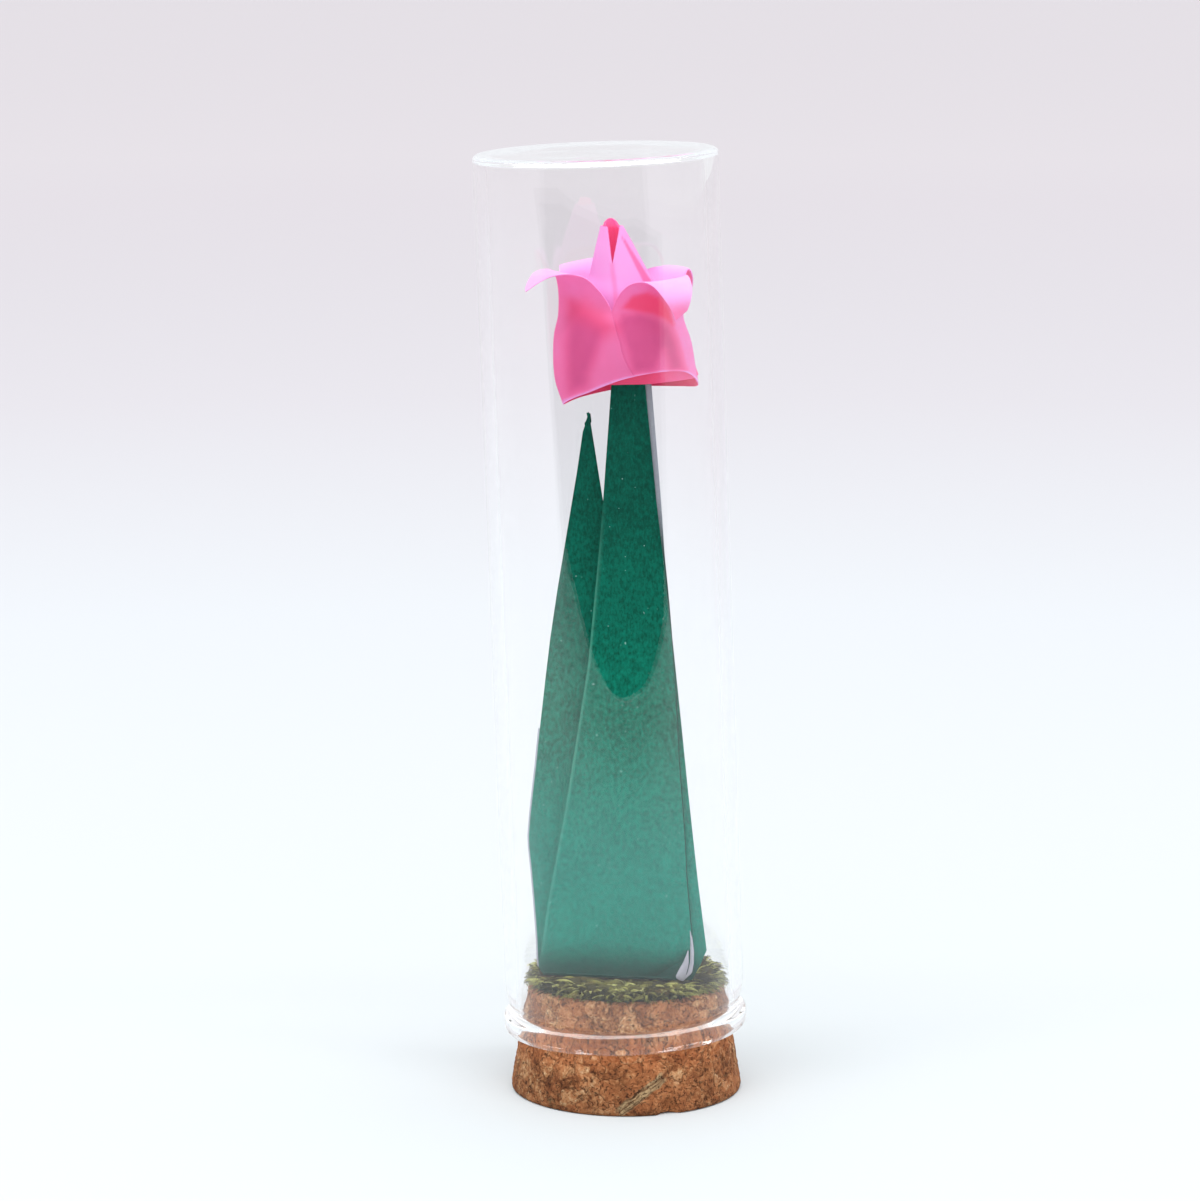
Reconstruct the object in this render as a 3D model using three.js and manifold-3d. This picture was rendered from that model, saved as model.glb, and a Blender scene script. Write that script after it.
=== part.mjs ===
// A tulip folded from paper, standing on a moss-topped cork under an upturned glass vial.
// Millimetres, +Z up, the viewer in front at -Y, the origin at the centre of the cork's underside.

import * as THREE from 'three';
import { mergeVertices } from 'three/addons/utils/BufferGeometryUtils.js';
import Module from 'manifold-3d';

const wasm = await Module();
wasm.setup();

// Driving dimensions

const cork = { bottomRadius: 14.55, topRadius: 12.1, height: 14.1, edge: 0.4, sides: 64 };

const vial = {
  radius: 15,
  length: 110,
  wall: 1.65,
  endWall: 1.9,
  endHollow: 0.35, // the closed end is a little hollow in its middle
  shoulder: 2.4,
  lipHeight: 3.4,
  lipSwell: 0.18,
  lipRound: 0.8,
  mouth: [-0.06, 0, 7.8], // centre of the mouth
  leanDeg: 2, // the closed end leans to -X
  sides: 56,
};

const moss = {
  radius: 11.85,
  seat: 0.9, // thickness under the paper
  crown: 1.5, // mean thickness elsewhere
  rings: 9,
  spokes: 44,
  sprigs: 190,
  sprigLength: 1.5,
  sprigRadius: 0.32,
  sprigRoot: 0.35, // how far above the cork a sprig is rooted in the pad
  clearOfPaper: 1.3, // from a panel's middle to where the pad starts to rise
  rise: 1.1, // and from there to its full height
  swell: 0.28,
  reach: 12.7, // no sprig goes further from the middle than this
  seed: 7,
};

const sheet = 0.6; // least thickness of a folded layer of paper
const paperGap = 0.3; // between the paper and what carries it
const paperBase = cork.height + moss.seat + paperGap;

// Front view outlines are [x, z]. The fold is the stem's right-hand edge, and the spine is the leaf's.
const stem = {
  tip: 101.2, // inside the blossom
  fold: { low: [9.6, 19.1], high: [2.95, 88.9] },
  seam: { low: [8.0, 19.1], high: [2.2, 88.9] },
  openEdge: [[-10.2, paperBase], [-10.8, 16.6], [-10.55, 18.1], [-9.65, 24.6], [-7.5, 36.5],
    [-4.8, 54.3], [-1.95, 88.8]],
  corner: [[8.9, 17.3], [7.9, 15.5]], // the bottom corner is folded in on a slant
  flapCorner: [5.7, paperBase],
  flapProud: 0.25,
  hem: { left: -9.8, right: 6.5, height: 1 }, // where the sheet turns from the stem into the leaf
};

const leaf = {
  tip: [-4.8, 84.9],
  spineFoot: [7.9, paperBase],
  openEdge: [[-10.6, paperBase], [-11.1, 19], [-11.45, 24], [-11.85, 28], [-12.25, 32], [-11.65, 38],
    [-10.9, 45.2], [-10.1, 52], [-8.6, 63.3], [-7.4, 70.8], [-6.1, 78.3], [-5.15, 84.3]],
};

// Each pair of panels opens backwards from its fold. A panel lies in the plane
// y = depth + turn * (x - x0) + lean * (z - z0).
const planes = {
  stemFront: { x0: 0.5, z0: 16, depth: -4.45, turn: -0.181, lean: 0.0432 },
  leafFront: { x0: 7.9, z0: 15.3, depth: -4.95, turn: -0.181, lean: 0.0526 },
  backTurn: -0.75,
  backWidth: 0.83, // the back panels' width in the front view, as a share of the front panels'
};

// The blossom's level curves, from its mouth up. Each is an ellipse drawn in towards sharp folds at its
// left and right, more so the higher its pinch. heights go round from the right by the back in eighths.
const blossom = {
  wall: 0.65,
  centreY: -0.3,
  spokes: 48,
  levels: [
    {
      x: 0.5, width: 8.35, depth: 4.1, pinch: 0.8,
      heights: [89.2, 88.7, 88.3, 87.4, 86.7, 88.2, 90.6, 91.1],
    },
    {
      x: -0.25, width: 8.65, depth: 4.7, pinch: 0.8,
      heights: [91.8, 91.4, 91.2, 90.6, 90.2, 91.3, 92.8, 93.2],
    },
    {
      x: -0.55, width: 8.45, depth: 5.0, pinch: 0.8,
      heights: [94.6, 94.7, 94.9, 94.9, 94.8, 95.1, 95.4, 95.1],
    },
    {
      x: -0.75, width: 7.7, depth: 5.0, pinch: 0.8,
      heights: [97.4, 97.6, 97.9, 97.9, 97.7, 97.5, 97.3, 97.3],
    },
    {
      x: -0.65, width: 7.7, depth: 4.8, pinch: 0.8,
      heights: [99.2, 99.6, 99.9, 100, 100, 99.4, 98.7, 98.9],
    },
  ],
  spire: [
    { x: -0.9, width: 4.9, depth: 3.8, pinch: 0.3, height: 100.6 },
    { x: -0.85, width: 3.8, depth: 3.0, pinch: 0.2, height: 102.4 },
    { x: -1.4, width: 2.6, depth: 2.1, pinch: 0.2, height: 105.5 },
    { x: -1.85, width: 1.35, depth: 1.2, pinch: 0, height: 108.7 },
    { x: -1.9, width: 0.8, depth: 0.7, pinch: 0, height: 109.4 },
  ],
  slit: { foot: [-1.84, 104.1], left: -2.6, right: -0.75, top: 109.8, front: -8, depth: 1.5 },
  // the hollow body narrows to a socket over the stem's tip
  socket: [
    { x: 0.1, width: 4.2, depth: 3.0, pinch: 0, height: 98.6 },
    { x: 0.45, width: 2.4, depth: 2.4, pinch: 0, height: 100.4 },
    { x: 0.45, width: 2.2, depth: 2.2, pinch: 0, height: stem.tip + paperGap },
  ],
};

// Each petal is a corner of the sheet. Its free edges leave the body at the front or back seam (near)
// and at the left or right fold (far). from and to are the degrees round the body of those two roots.
const petals = [
  {
    from: 261, to: 182,
    near: [[-2.95, -5.3, 100.6], [-4.8, -5.3, 102.7], [-6.6, -5.1, 103.2], [-8.9, -4.9, 103.0],
      [-10.5, -4.7, 102.2], [-12.0, -4.5, 101.1]],
    far: [[-8.55, -0.6, 102.0], [-9.3, -1.5, 103.2], [-10.4, -2.6, 103.4], [-11.3, -3.4, 103.1],
      [-11.9, -3.9, 102.2], [-12.2, -4.3, 101.5]],
  },
  {
    from: 261, to: 358,
    near: [[-1.6, -5.3, 99.7], [-0.8, -5.7, 101.1], [0.3, -6.1, 102.1], [1.6, -6.5, 102.4],
      [3.0, -7.0, 101.9], [4.2, -7.4, 100.4], [5.0, -7.5, 98.9], [5.5, -7.3, 97.5]],
    far: [[7.1, -1.0, 100.9], [7.05, -2.2, 102.4], [7.1, -3.6, 102.9], [7.3, -5.0, 102.5],
      [7.4, -6.0, 101.4], [7.25, -6.6, 100.0], [6.8, -6.9, 98.8], [6.2, -7.0, 97.6]],
  },
  {
    from: 97, to: 2,
    near: [[0.4, 4.9, 101.2], [2.4, 5.0, 102.7], [4.4, 4.9, 103.2], [6.4, 4.6, 103.0],
      [7.6, 4.1, 102.1], [8.0, 3.7, 100.6], [7.6, 3.5, 99.3]],
    far: [[7.2, 0.5, 101.0], [7.3, 1.1, 102.3], [7.6, 1.8, 103.0], [8.0, 2.3, 102.8],
      [8.3, 2.7, 101.9], [8.2, 2.9, 100.8], [7.8, 3.0, 99.8]],
  },
  {
    from: 97, to: 178,
    near: [[-1.7, 4.9, 101.4], [-2.4, 5.4, 103.2], [-3.4, 6.0, 104.0], [-4.9, 6.7, 103.6],
      [-5.9, 7.2, 102.2], [-6.5, 7.3, 100.7]],
    far: [[-8.4, 0.9, 101.6], [-8.3, 2.1, 102.9], [-8.3, 3.6, 103.3], [-8.3, 5.1, 102.8],
      [-8.0, 6.2, 101.6], [-7.2, 6.8, 100.3]],
  },
];
const petalGrid = { rows: 12, columns: 8 };
const petalRoot = 0.4; // how far up from the fourth level to the fifth the petals are rooted
const petalBow = 1.5; // how fast a petal loses the body's roundness on its way up

const finish = {
  glass: { color: 0xe8eef0, roughness: 0.03, metalness: 0, transparent: true, opacity: 0.25 },
  cork: { color: 0xaf6e46, roughness: 0.9, metalness: 0 },
  moss: { color: 0x6e7032, roughness: 0.95, metalness: 0 },
  greenPaper: { color: 0x0f6a54, roughness: 0.75, metalness: 0 },
  pinkPaper: { color: 0xf06cae, roughness: 0.65, metalness: 0 },
};

// Closed solids from triangles

function solidOf(geometry) {
  const bare = new THREE.BufferGeometry();
  bare.setAttribute('position', geometry.getAttribute('position').clone());
  if (geometry.index) bare.setIndex(geometry.index.clone());
  const merged = mergeVertices(bare, 1e-4);
  return new wasm.Manifold(new wasm.Mesh({
    numProp: 3,
    vertProperties: new Float32Array(merged.getAttribute('position').array),
    triVerts: new Uint32Array(merged.index.array),
  }));
}

function meshOf(name, solid, look) {
  const { vertProperties, triVerts } = solid.getMesh();
  const geometry = new THREE.BufferGeometry();
  geometry.setAttribute('position', new THREE.BufferAttribute(vertProperties, 3));
  geometry.setIndex(new THREE.BufferAttribute(triVerts, 1));
  geometry.computeVertexNormals();
  const mesh = new THREE.Mesh(geometry, new THREE.MeshStandardMaterial(look));
  mesh.name = name;
  return mesh;
}

function joined(solids) {
  return solids.reduce((whole, next) => whole.add(next));
}

// The outer skin alone: pockets sealed between sprigs are filled and loose scraps dropped
function largestOf(solid) {
  return solid.decompose().reduce((best, next) => (next.volume() > best.volume() ? next : best));
}

function geometryFrom(points, triangles) {
  const geometry = new THREE.BufferGeometry();
  const numbers = points.flatMap((p) => [p.x, p.y, p.z]);
  geometry.setAttribute('position', new THREE.Float32BufferAttribute(numbers, 3));
  geometry.setIndex(triangles.flat());
  return geometry;
}

// A lathe about Z from a profile of [radius, height] that starts and ends on the axis
function turned(profile, sides) {
  const points = profile.map(([r, h]) => new THREE.Vector2(r, h));
  return new THREE.LatheGeometry(points, sides).rotateX(Math.PI / 2);
}

// Points on an arc in the profile's plane, angles in degrees
function arc(centreR, centreH, radius, fromDeg, toDeg, steps) {
  return Array.from({ length: steps + 1 }, (_, i) => {
    const angle = THREE.MathUtils.degToRad(fromDeg + (toDeg - fromDeg) * i / steps);
    return [centreR + radius * Math.cos(angle), centreH + radius * Math.sin(angle)];
  });
}

// A closed skin over rings of points, counter-clockwise from above and stacked upwards
function lofted(rings) {
  const n = rings[0].length;
  const points = rings.flat();
  const foot = points.push(centreOf(rings[0])) - 1;
  const head = points.push(centreOf(rings.at(-1))) - 1;
  const last = (rings.length - 1) * n;
  const triangles = [];
  for (let i = 0; i < n; i++) {
    const next = (i + 1) % n;
    triangles.push([foot, next, i], [head, last + i, last + next]);
    for (let k = 0; k < last; k += n) {
      triangles.push([k + i, k + next, k + n + next], [k + i, k + n + next, k + n + i]);
    }
  }
  return geometryFrom(points, triangles);
}

function centreOf(ring) {
  return ring.reduce((sum, p) => sum.add(p), new THREE.Vector3()).divideScalar(ring.length);
}

// A sheet of even thickness about a grid of points, with the same split on both faces
function thickened(grid, thickness) {
  const rows = grid.length;
  const columns = grid[0].length;
  const at = (r, c) => grid[Math.min(Math.max(r, 0), rows - 1)][Math.min(Math.max(c, 0), columns - 1)];
  const faces = [[], []];
  for (let r = 0; r < rows; r++) {
    for (let c = 0; c < columns; c++) {
      const along = at(r + 1, c).clone().sub(at(r - 1, c));
      const across = at(r, c + 1).clone().sub(at(r, c - 1));
      const normal = across.cross(along).normalize().multiplyScalar(thickness / 2);
      faces[0].push(grid[r][c].clone().add(normal));
      faces[1].push(grid[r][c].clone().sub(normal));
    }
  }
  const under = rows * columns;
  const triangles = [];
  const quad = (a, b, c, d) => triangles.push([a, b, c], [a, c, d]);
  for (let r = 0; r < rows - 1; r++) {
    for (let c = 0; c < columns - 1; c++) {
      const a = r * columns + c;
      const [b, d, e] = [a + 1, a + columns, a + columns + 1];
      triangles.push([a, b, e], [a, e, d]);
      triangles.push([under + a, under + e, under + b], [under + a, under + d, under + e]);
    }
  }
  for (let c = 0; c < columns - 1; c++) {
    const top = (rows - 1) * columns + c;
    quad(c, under + c, under + c + 1, c + 1);
    quad(top, top + 1, under + top + 1, under + top);
  }
  for (let r = 0; r < rows - 1; r++) {
    const left = r * columns;
    const right = left + columns - 1;
    quad(left, left + columns, under + left + columns, under + left);
    quad(right, under + right, under + right + columns, right + columns);
  }
  return geometryFrom([...faces[0], ...faces[1]], triangles);
}

// Repeatable random numbers from 0 to 1
function randomFrom(seed) {
  let state = seed;
  return () => {
    state = (state * 1664525 + 1013904223) % 4294967296;
    return state / 4294967296;
  };
}

// The cork: a tapered plug with worn edges

function corkRadius(z) {
  return cork.bottomRadius + (cork.topRadius - cork.bottomRadius) * z / cork.height;
}

function corkStopper() {
  const { height, edge, sides } = cork;
  return solidOf(turned([
    [0, 0],
    [corkRadius(0) - edge, 0],
    [corkRadius(edge / 2), edge],
    [corkRadius(height - edge), height - edge],
    [corkRadius(height) - edge, height],
    [0, height],
  ], sides));
}

// The vial, built mouth down with its own origin at the centre of the mouth

function glassVial() {
  const { radius, length, wall, endWall, endHollow, shoulder, lipHeight, lipSwell, lipRound, sides } = vial;
  const bore = radius - wall;
  const lip = radius + lipSwell;
  const innerShoulder = shoulder - wall / 2;
  const ceiling = length - endWall;
  return solidOf(turned([
    [0, ceiling - endHollow],
    [bore * 0.6, ceiling - endHollow / 2],
    ...arc(bore - innerShoulder, ceiling - innerShoulder, innerShoulder, 90, 0, 4),
    ...arc(bore + lipRound, lipRound, lipRound, 180, 270, 3),
    ...arc(lip - lipRound, lipRound, lipRound, 270, 360, 3),
    [lip, lipHeight - lipRound],
    [radius, lipHeight],
    ...arc(radius - shoulder, length - shoulder, shoulder, 0, 90, 5),
    [bore * 0.6, length - endHollow / 2],
    [0, length - endHollow],
  ], sides));
}

// The paper stem and leaf: two pairs of panels, one pair inside the other

function onPlane({ x0, z0, depth, turn, lean }) {
  return (x, z) => depth + turn * (x - x0) + lean * (z - z0);
}

// The straight line through low and high, as x at a height
function xAlong({ low, high }) {
  return (z) => low[0] + (high[0] - low[0]) * (z - low[1]) / (high[1] - low[1]);
}

// A panel is drawn as its outline from the front, then leaned into its plane
function panel(outline, depthAt, thickness) {
  const shape = new THREE.Shape(outline.map(([x, z]) => new THREE.Vector2(x, z)));
  const geometry = new THREE.ExtrudeGeometry(shape, { depth: thickness, bevelEnabled: false });
  geometry.rotateX(Math.PI / 2);
  const place = geometry.getAttribute('position');
  for (let i = 0; i < place.count; i++) {
    const y = place.getY(i) + thickness / 2 + depthAt(place.getX(i), place.getZ(i));
    place.setY(i, y);
  }
  return solidOf(geometry);
}

function paperStemAndLeaf() {
  const foldAt = xAlong(stem.fold);
  const seamAt = xAlong(stem.seam);
  const spineAt = xAlong({ low: leaf.spineFoot, high: leaf.tip });
  const openAt = xAlong({ low: stem.openEdge.at(-2), high: stem.openEdge.at(-1) });
  const stemFront = onPlane(planes.stemFront);
  const leafFront = onPlane(planes.leafFront);
  const stemBack = (x, z) => stemFront(foldAt(z), z) + sheet * 0.7 + planes.backTurn * (x - foldAt(z));
  const leafBack = (x, z) => leafFront(spineAt(z), z) + sheet * 0.3 + planes.backTurn * (x - spineAt(z));
  const narrowed = (edge, foldX) => edge.map(([x, z]) => [foldX(z) - planes.backWidth * (foldX(z) - x), z]);
  const backSheet = sheet * Math.hypot(1, planes.backTurn); // keeps its thickness square to the panel

  const openEdge = [...stem.openEdge, [openAt(stem.tip), stem.tip]];
  const foldEdge = [[foldAt(stem.tip), stem.tip], stem.fold.low, ...stem.corner];
  const flapEdge = [[seamAt(stem.tip), stem.tip], stem.seam.low, stem.flapCorner];
  const leafEdge = [...leaf.openEdge, leaf.tip, leaf.spineFoot];

  const flapFront = (x, z) => stemFront(x, z) - stem.flapProud / 2;
  const { left, right, height } = stem.hem;
  const hemFront = (x, z) => (stemFront(x, z) + leafFront(x, z)) / 2;
  const hemBack = (x, z) => (stemBack(x, z) + leafBack(x, z)) / 2;
  const hemTop = paperBase + height;
  const hem = [[left, paperBase], [left, hemTop], [right, hemTop], [right, paperBase]];

  return joined([
    panel([...openEdge, ...foldEdge], stemFront, sheet),
    panel([...openEdge, ...flapEdge], flapFront, sheet + stem.flapProud),
    panel([...narrowed(openEdge, foldAt), ...foldEdge], stemBack, backSheet),
    panel(leafEdge, leafFront, sheet),
    panel([...narrowed(leaf.openEdge, spineAt), leaf.tip, leaf.spineFoot], leafBack, backSheet),
    panel(hem, hemFront, 2 * sheet),
    panel(narrowed(hem, foldAt), hemBack, 2 * sheet),
  ]);
}

// The blossom: a folded hollow body, a split spire and four curled petals

// A smooth closed curve through eight heights, for an angle in degrees
function heightAround(heights, deg) {
  const n = heights.length;
  const place = (((deg % 360) + 360) % 360) * n / 360;
  const i = Math.floor(place);
  const [a, b, c, d] = [i + n - 1, i, i + 1, i + 2].map((k) => heights[k % n]);
  const t = place - i;
  return b + 0.5 * t * (c - a + t * (2 * a - 5 * b + 4 * c - d + t * (3 * (b - c) + d - a)));
}

function levelCurve({ x, width, depth, pinch, height, heights }, inset = 0) {
  return (deg) => {
    const c = Math.cos(THREE.MathUtils.degToRad(deg));
    const s = Math.sin(THREE.MathUtils.degToRad(deg));
    return new THREE.Vector3(
      x + (width - inset) * c,
      blossom.centreY + (depth - inset) * s * Math.abs(s) ** pinch,
      heights ? heightAround(heights, deg) : height,
    );
  };
}

function ringOf(curve) {
  return Array.from({ length: blossom.spokes }, (_, i) => curve(360 * i / blossom.spokes));
}

function blossomCore() {
  const { levels, spire, socket, wall } = blossom;
  const outside = [...levels, ...spire].map((level) => ringOf(levelCurve(level)));
  const body = levels.slice(0, -1).map((level) => ringOf(levelCurve(level, wall)));
  const below = body[0].map((p) => p.clone().setZ(p.z - 3));
  const hollow = [below, ...body, ...socket.map((level) => ringOf(levelCurve(level)))];
  return solidOf(lofted(outside)).subtract(solidOf(lofted(hollow)));
}

// The wedge that opens the front of the spire
function slitWedge() {
  const { foot, left, right, top, front, depth } = blossom.slit;
  const topDepth = blossom.centreY - blossom.spire.at(-2).depth + depth;
  const footDepth = blossom.centreY - blossom.spire[1].depth;
  const corners = [
    [foot[0], front, foot[1]], [left, front, top], [right, front, top],
    [foot[0], footDepth, foot[1]], [left, topDepth, top], [right, topDepth, top],
  ].map((p) => new THREE.Vector3(...p));
  return solidOf(geometryFrom(corners, [
    [0, 2, 1], [3, 4, 5], [0, 1, 4], [0, 4, 3], [1, 2, 5], [1, 5, 4], [2, 0, 3], [2, 3, 5],
  ]));
}

// Rows run up the petal from inside the body's wall, columns across it from near to far
function petalSolid({ from, to, near, far }) {
  const rim = levelCurve(blossom.levels.at(-1), sheet / 2);
  const below = levelCurve(blossom.levels.at(-2), sheet / 2);
  const edge = (root, points) => new THREE.CatmullRomCurve3(
    [root, ...points.map((p) => new THREE.Vector3(...p))], false, 'centripetal');
  const nearEdge = edge(rim(from), near);
  const farEdge = edge(rim(to), far);
  const columns = Array.from({ length: petalGrid.columns + 1 }, (_, c) => c / petalGrid.columns);
  const degAt = (u) => from + (to - from) * u;
  const grid = [columns.map((u) => below(degAt(u)).lerp(rim(degAt(u)), petalRoot))];
  for (let r = 0; r <= petalGrid.rows; r++) {
    const t = r / petalGrid.rows;
    grid.push(columns.map((u) => {
      const bow = rim(degAt(u)).sub(rim(from).lerp(rim(to), u));
      return nearEdge.getPoint(t).lerp(farEdge.getPoint(t), u).addScaledVector(bow, (1 - t) ** petalBow);
    }));
  }
  const solid = solidOf(thickened(grid, sheet));
  return solid.volume() > 0 ? solid : solidOf(thickened(grid.map((row) => row.reverse()), sheet));
}

function paperBlossom() {
  return joined([blossomCore().subtract(slitWedge()), ...petals.map(petalSolid)]);
}

// The moss: a low lumpy pad, flat where the paper stands, with short sprigs rooted in it

function mossHeight(x, y, onPaper) {
  const lumps = Math.sin(1.3 * x + 0.7) * Math.cos(1.1 * y - 0.4) + 0.6 * Math.sin(2.3 * x - 1.7 * y + 2);
  const free = moss.crown + moss.swell * lumps;
  return THREE.MathUtils.lerp(free, moss.seat, onPaper);
}

// 1 on the lines where the panels stand, 0 away from them
function paperFootAt(x, y) {
  const lines = [
    [[-10.6, -2.4], [9.2, -6.0]],
    [[-10.6, -1.6], [7.9, -4.9]],
    [[9.2, -6.0], [-6.4, 7.0]],
  ].map((line) => line.map((p) => new THREE.Vector3(...p, 0)));
  const spot = new THREE.Vector3(x, y, 0);
  const distance = Math.min(...lines.map(([a, b]) => {
    const nearest = new THREE.Line3(a, b).closestPointToPoint(spot, true, new THREE.Vector3());
    return nearest.distanceTo(spot);
  }));
  return 1 - THREE.MathUtils.smoothstep(distance, moss.clearOfPaper, moss.clearOfPaper + moss.rise);
}

function mossEdge(angle) {
  return moss.radius + 0.14 * Math.sin(3 * angle + 1) + 0.16 * Math.sin(8 * angle + 2);
}

function mossPad() {
  const base = cork.height;
  const levels = [
    { share: 1, height: () => base },
    { share: 1, height: () => base + 0.45 },
    ...Array.from({ length: moss.rings }, (_, i) => ({
      share: 0.95 - 0.9 * i / (moss.rings - 1),
      height: (x, y) => base + mossHeight(x, y, paperFootAt(x, y)),
    })),
  ];
  return solidOf(lofted(levels.map(({ share, height }) => Array.from({ length: moss.spokes }, (_, i) => {
    const angle = 2 * Math.PI * i / moss.spokes;
    const x = share * mossEdge(angle) * Math.cos(angle);
    const y = share * mossEdge(angle) * Math.sin(angle);
    return new THREE.Vector3(x, y, height(x, y));
  }))));
}

// A three-sided tapering spike that rises through the pad and then lies over along out
function sprig(root, out, rise, length, lift) {
  const upward = new THREE.Vector3(0, 0, 1);
  const side = new THREE.Vector3().crossVectors(upward, out);
  const bend = root.clone().addScaledVector(upward, rise);
  const tip = bend.clone().addScaledVector(out, length).addScaledVector(upward, length * lift);
  const around = (centre, r, lean) => [0, 1, 2].map((i) => {
    const turn = 2 * Math.PI * i / 3;
    const across = out.clone().multiplyScalar(1 - lean).addScaledVector(upward, -lean);
    const [c, s] = [r * Math.cos(turn), r * Math.sin(turn)];
    return centre.clone().addScaledVector(across, c).addScaledVector(side, s);
  });
  const r = moss.sprigRadius;
  return solidOf(lofted([around(root, r, 0), around(bend, r * 0.8, 0.5), around(tip, r * 0.15, 1)]));
}

function mossPadWithSprigs() {
  const random = randomFrom(moss.seed);
  const solids = [mossPad()];
  while (solids.length <= moss.sprigs) {
    const angle = 2 * Math.PI * random();
    const share = 0.97 * Math.sqrt(random());
    const heading = angle + 4 * (random() - 0.5);
    const length = moss.sprigLength * (0.6 + 0.8 * random());
    const rise = moss.crown - moss.sprigRoot + 0.1 + 0.4 * random();
    const lift = 0.1 + 0.5 * random();
    const root = new THREE.Vector3(Math.cos(angle), Math.sin(angle), 0);
    root.multiplyScalar(share * mossEdge(angle)).setZ(cork.height + moss.sprigRoot);
    const out = new THREE.Vector3(Math.cos(heading), Math.sin(heading), 0);
    const tip = root.clone().addScaledVector(out, length);
    const middle = root.clone().addScaledVector(out, length / 2);
    const free = [root, middle, tip].every((p) => paperFootAt(p.x, p.y) < 0.02);
    if (free && Math.hypot(tip.x, tip.y) < moss.reach) solids.push(sprig(root, out, rise, length, lift));
  }
  return largestOf(wasm.Manifold.union(solids));
}

// The whole ornament

const ornament = new THREE.Group();

ornament.add(
  meshOf('cork_stopper', corkStopper(), finish.cork),
  meshOf('moss_pad', mossPadWithSprigs(), finish.moss),
  meshOf('paper_stem_and_leaf', paperStemAndLeaf(), finish.greenPaper),
  meshOf('paper_blossom', paperBlossom(), finish.pinkPaper),
);

const tilted = new THREE.Group();
tilted.position.set(...vial.mouth);
tilted.rotation.y = THREE.MathUtils.degToRad(-vial.leanDeg);
tilted.add(meshOf('glass_vial', glassVial(), finish.glass));
ornament.add(tilted);

export default ornament;
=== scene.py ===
import math
import random

import bmesh
import bpy
from mathutils import Matrix, Vector, noise


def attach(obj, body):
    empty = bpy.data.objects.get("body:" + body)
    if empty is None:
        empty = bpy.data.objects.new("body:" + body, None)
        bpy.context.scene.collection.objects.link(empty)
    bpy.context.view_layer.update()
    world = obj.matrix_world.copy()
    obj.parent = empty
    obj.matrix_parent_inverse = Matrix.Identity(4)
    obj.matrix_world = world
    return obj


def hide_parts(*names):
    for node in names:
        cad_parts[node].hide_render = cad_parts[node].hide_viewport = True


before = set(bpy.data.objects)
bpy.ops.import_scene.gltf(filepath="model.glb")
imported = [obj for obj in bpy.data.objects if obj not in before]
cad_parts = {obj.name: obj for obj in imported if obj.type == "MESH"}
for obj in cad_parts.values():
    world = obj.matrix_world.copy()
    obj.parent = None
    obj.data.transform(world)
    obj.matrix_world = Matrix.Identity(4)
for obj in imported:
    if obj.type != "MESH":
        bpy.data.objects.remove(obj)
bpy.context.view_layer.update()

mm = 0.001


# ways to model

def clearSelection():
    if bpy.context.mode != 'OBJECT':
        bpy.ops.object.mode_set(mode='OBJECT')
    bpy.ops.object.select_all(action='DESELECT')


def nameActive(name):
    piece = bpy.context.active_object
    piece.name = name
    piece.data.name = name
    return piece


def makeActive(piece):
    clearSelection()
    piece.select_set(True)
    bpy.context.view_layer.objects.active = piece


def applyModifier(piece, modifier):
    makeActive(piece)
    bpy.ops.object.modifier_apply(modifier=modifier.name)


def joinPieces(name, pieces):
    clearSelection()
    for piece in pieces:
        piece.select_set(True)
    bpy.context.view_layer.objects.active = pieces[0]
    bpy.ops.object.join()
    return nameActive(name)


def smoothBy(piece, angle):
    makeActive(piece)
    bpy.ops.object.shade_smooth_by_angle(angle=math.radians(angle))


def mix(a, b, share):
    return a + (b - a) * share


def smoothStep(low, high, value):
    share = min(max((value - low) / (high - low), 0), 1)
    return share * share * (3 - 2 * share)


def along(points, height):
    # the first coordinate of a chain of (x, z) points at a height, straight between them
    if height <= points[0][1]:
        return points[0][0]
    for (x0, z0), (x1, z1) in zip(points, points[1:]):
        if height <= z1:
            return mix(x0, x1, (height - z0) / max(z1 - z0, 1e-9))
    (x0, z0), (x1, z1) = points[-2:]
    return mix(x0, x1, (height - z0) / (z1 - z0))


def curveThrough(points, share):
    # a smooth curve through points, share 0 at the first and 1 at the last
    spans = len(points) - 1
    place = min(max(share, 0), 1) * spans
    i = min(int(place), spans - 1)
    t = place - i
    b = points[i]
    c = points[i + 1]
    a = points[i - 1] if i else b + (b - c)
    d = points[i + 2] if i + 2 <= spans else c + (c - b)
    return b + 0.5 * t * (c - a + t * (2 * a - 5 * b + 4 * c - d + t * (3 * (b - c) + d - a)))


def heightsFor(low, high, step, marks):
    # heights from low to high, one at each mark and the rest evenly between them
    stops = sorted({low, high, *[m for m in marks if low < m < high]})
    heights = [low]
    for a, b in zip(stops, stops[1:]):
        n = max(1, round((b - a) / step))
        heights += [mix(a, b, (i + 1) / n) for i in range(n)]
    return heights


def sheetThrough(name, rows):
    # a grid whose rows of corners are laid through rows of spots
    across = len(rows[0])
    clearSelection()
    bpy.ops.mesh.primitive_grid_add(x_subdivisions=across - 1, y_subdivisions=len(rows) - 1, size=10 * mm)
    sheet = nameActive(name)
    sheet.data.vertices.foreach_set('co', [c * mm for row in rows for spot in row for c in spot])
    sheet.data.update()
    return sheet


def thicken(sheet, thickness, finishes, side=-1):
    # finishes are those of the outside, the reverse and the cut edge
    for finish in finishes:
        sheet.data.materials.append(finish)
    wall = sheet.modifiers.new('thickness', 'SOLIDIFY')
    wall.thickness = thickness * mm
    wall.offset = side
    wall.material_offset = 1
    wall.material_offset_rim = 2
    applyModifier(sheet, wall)
    return sheet


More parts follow.
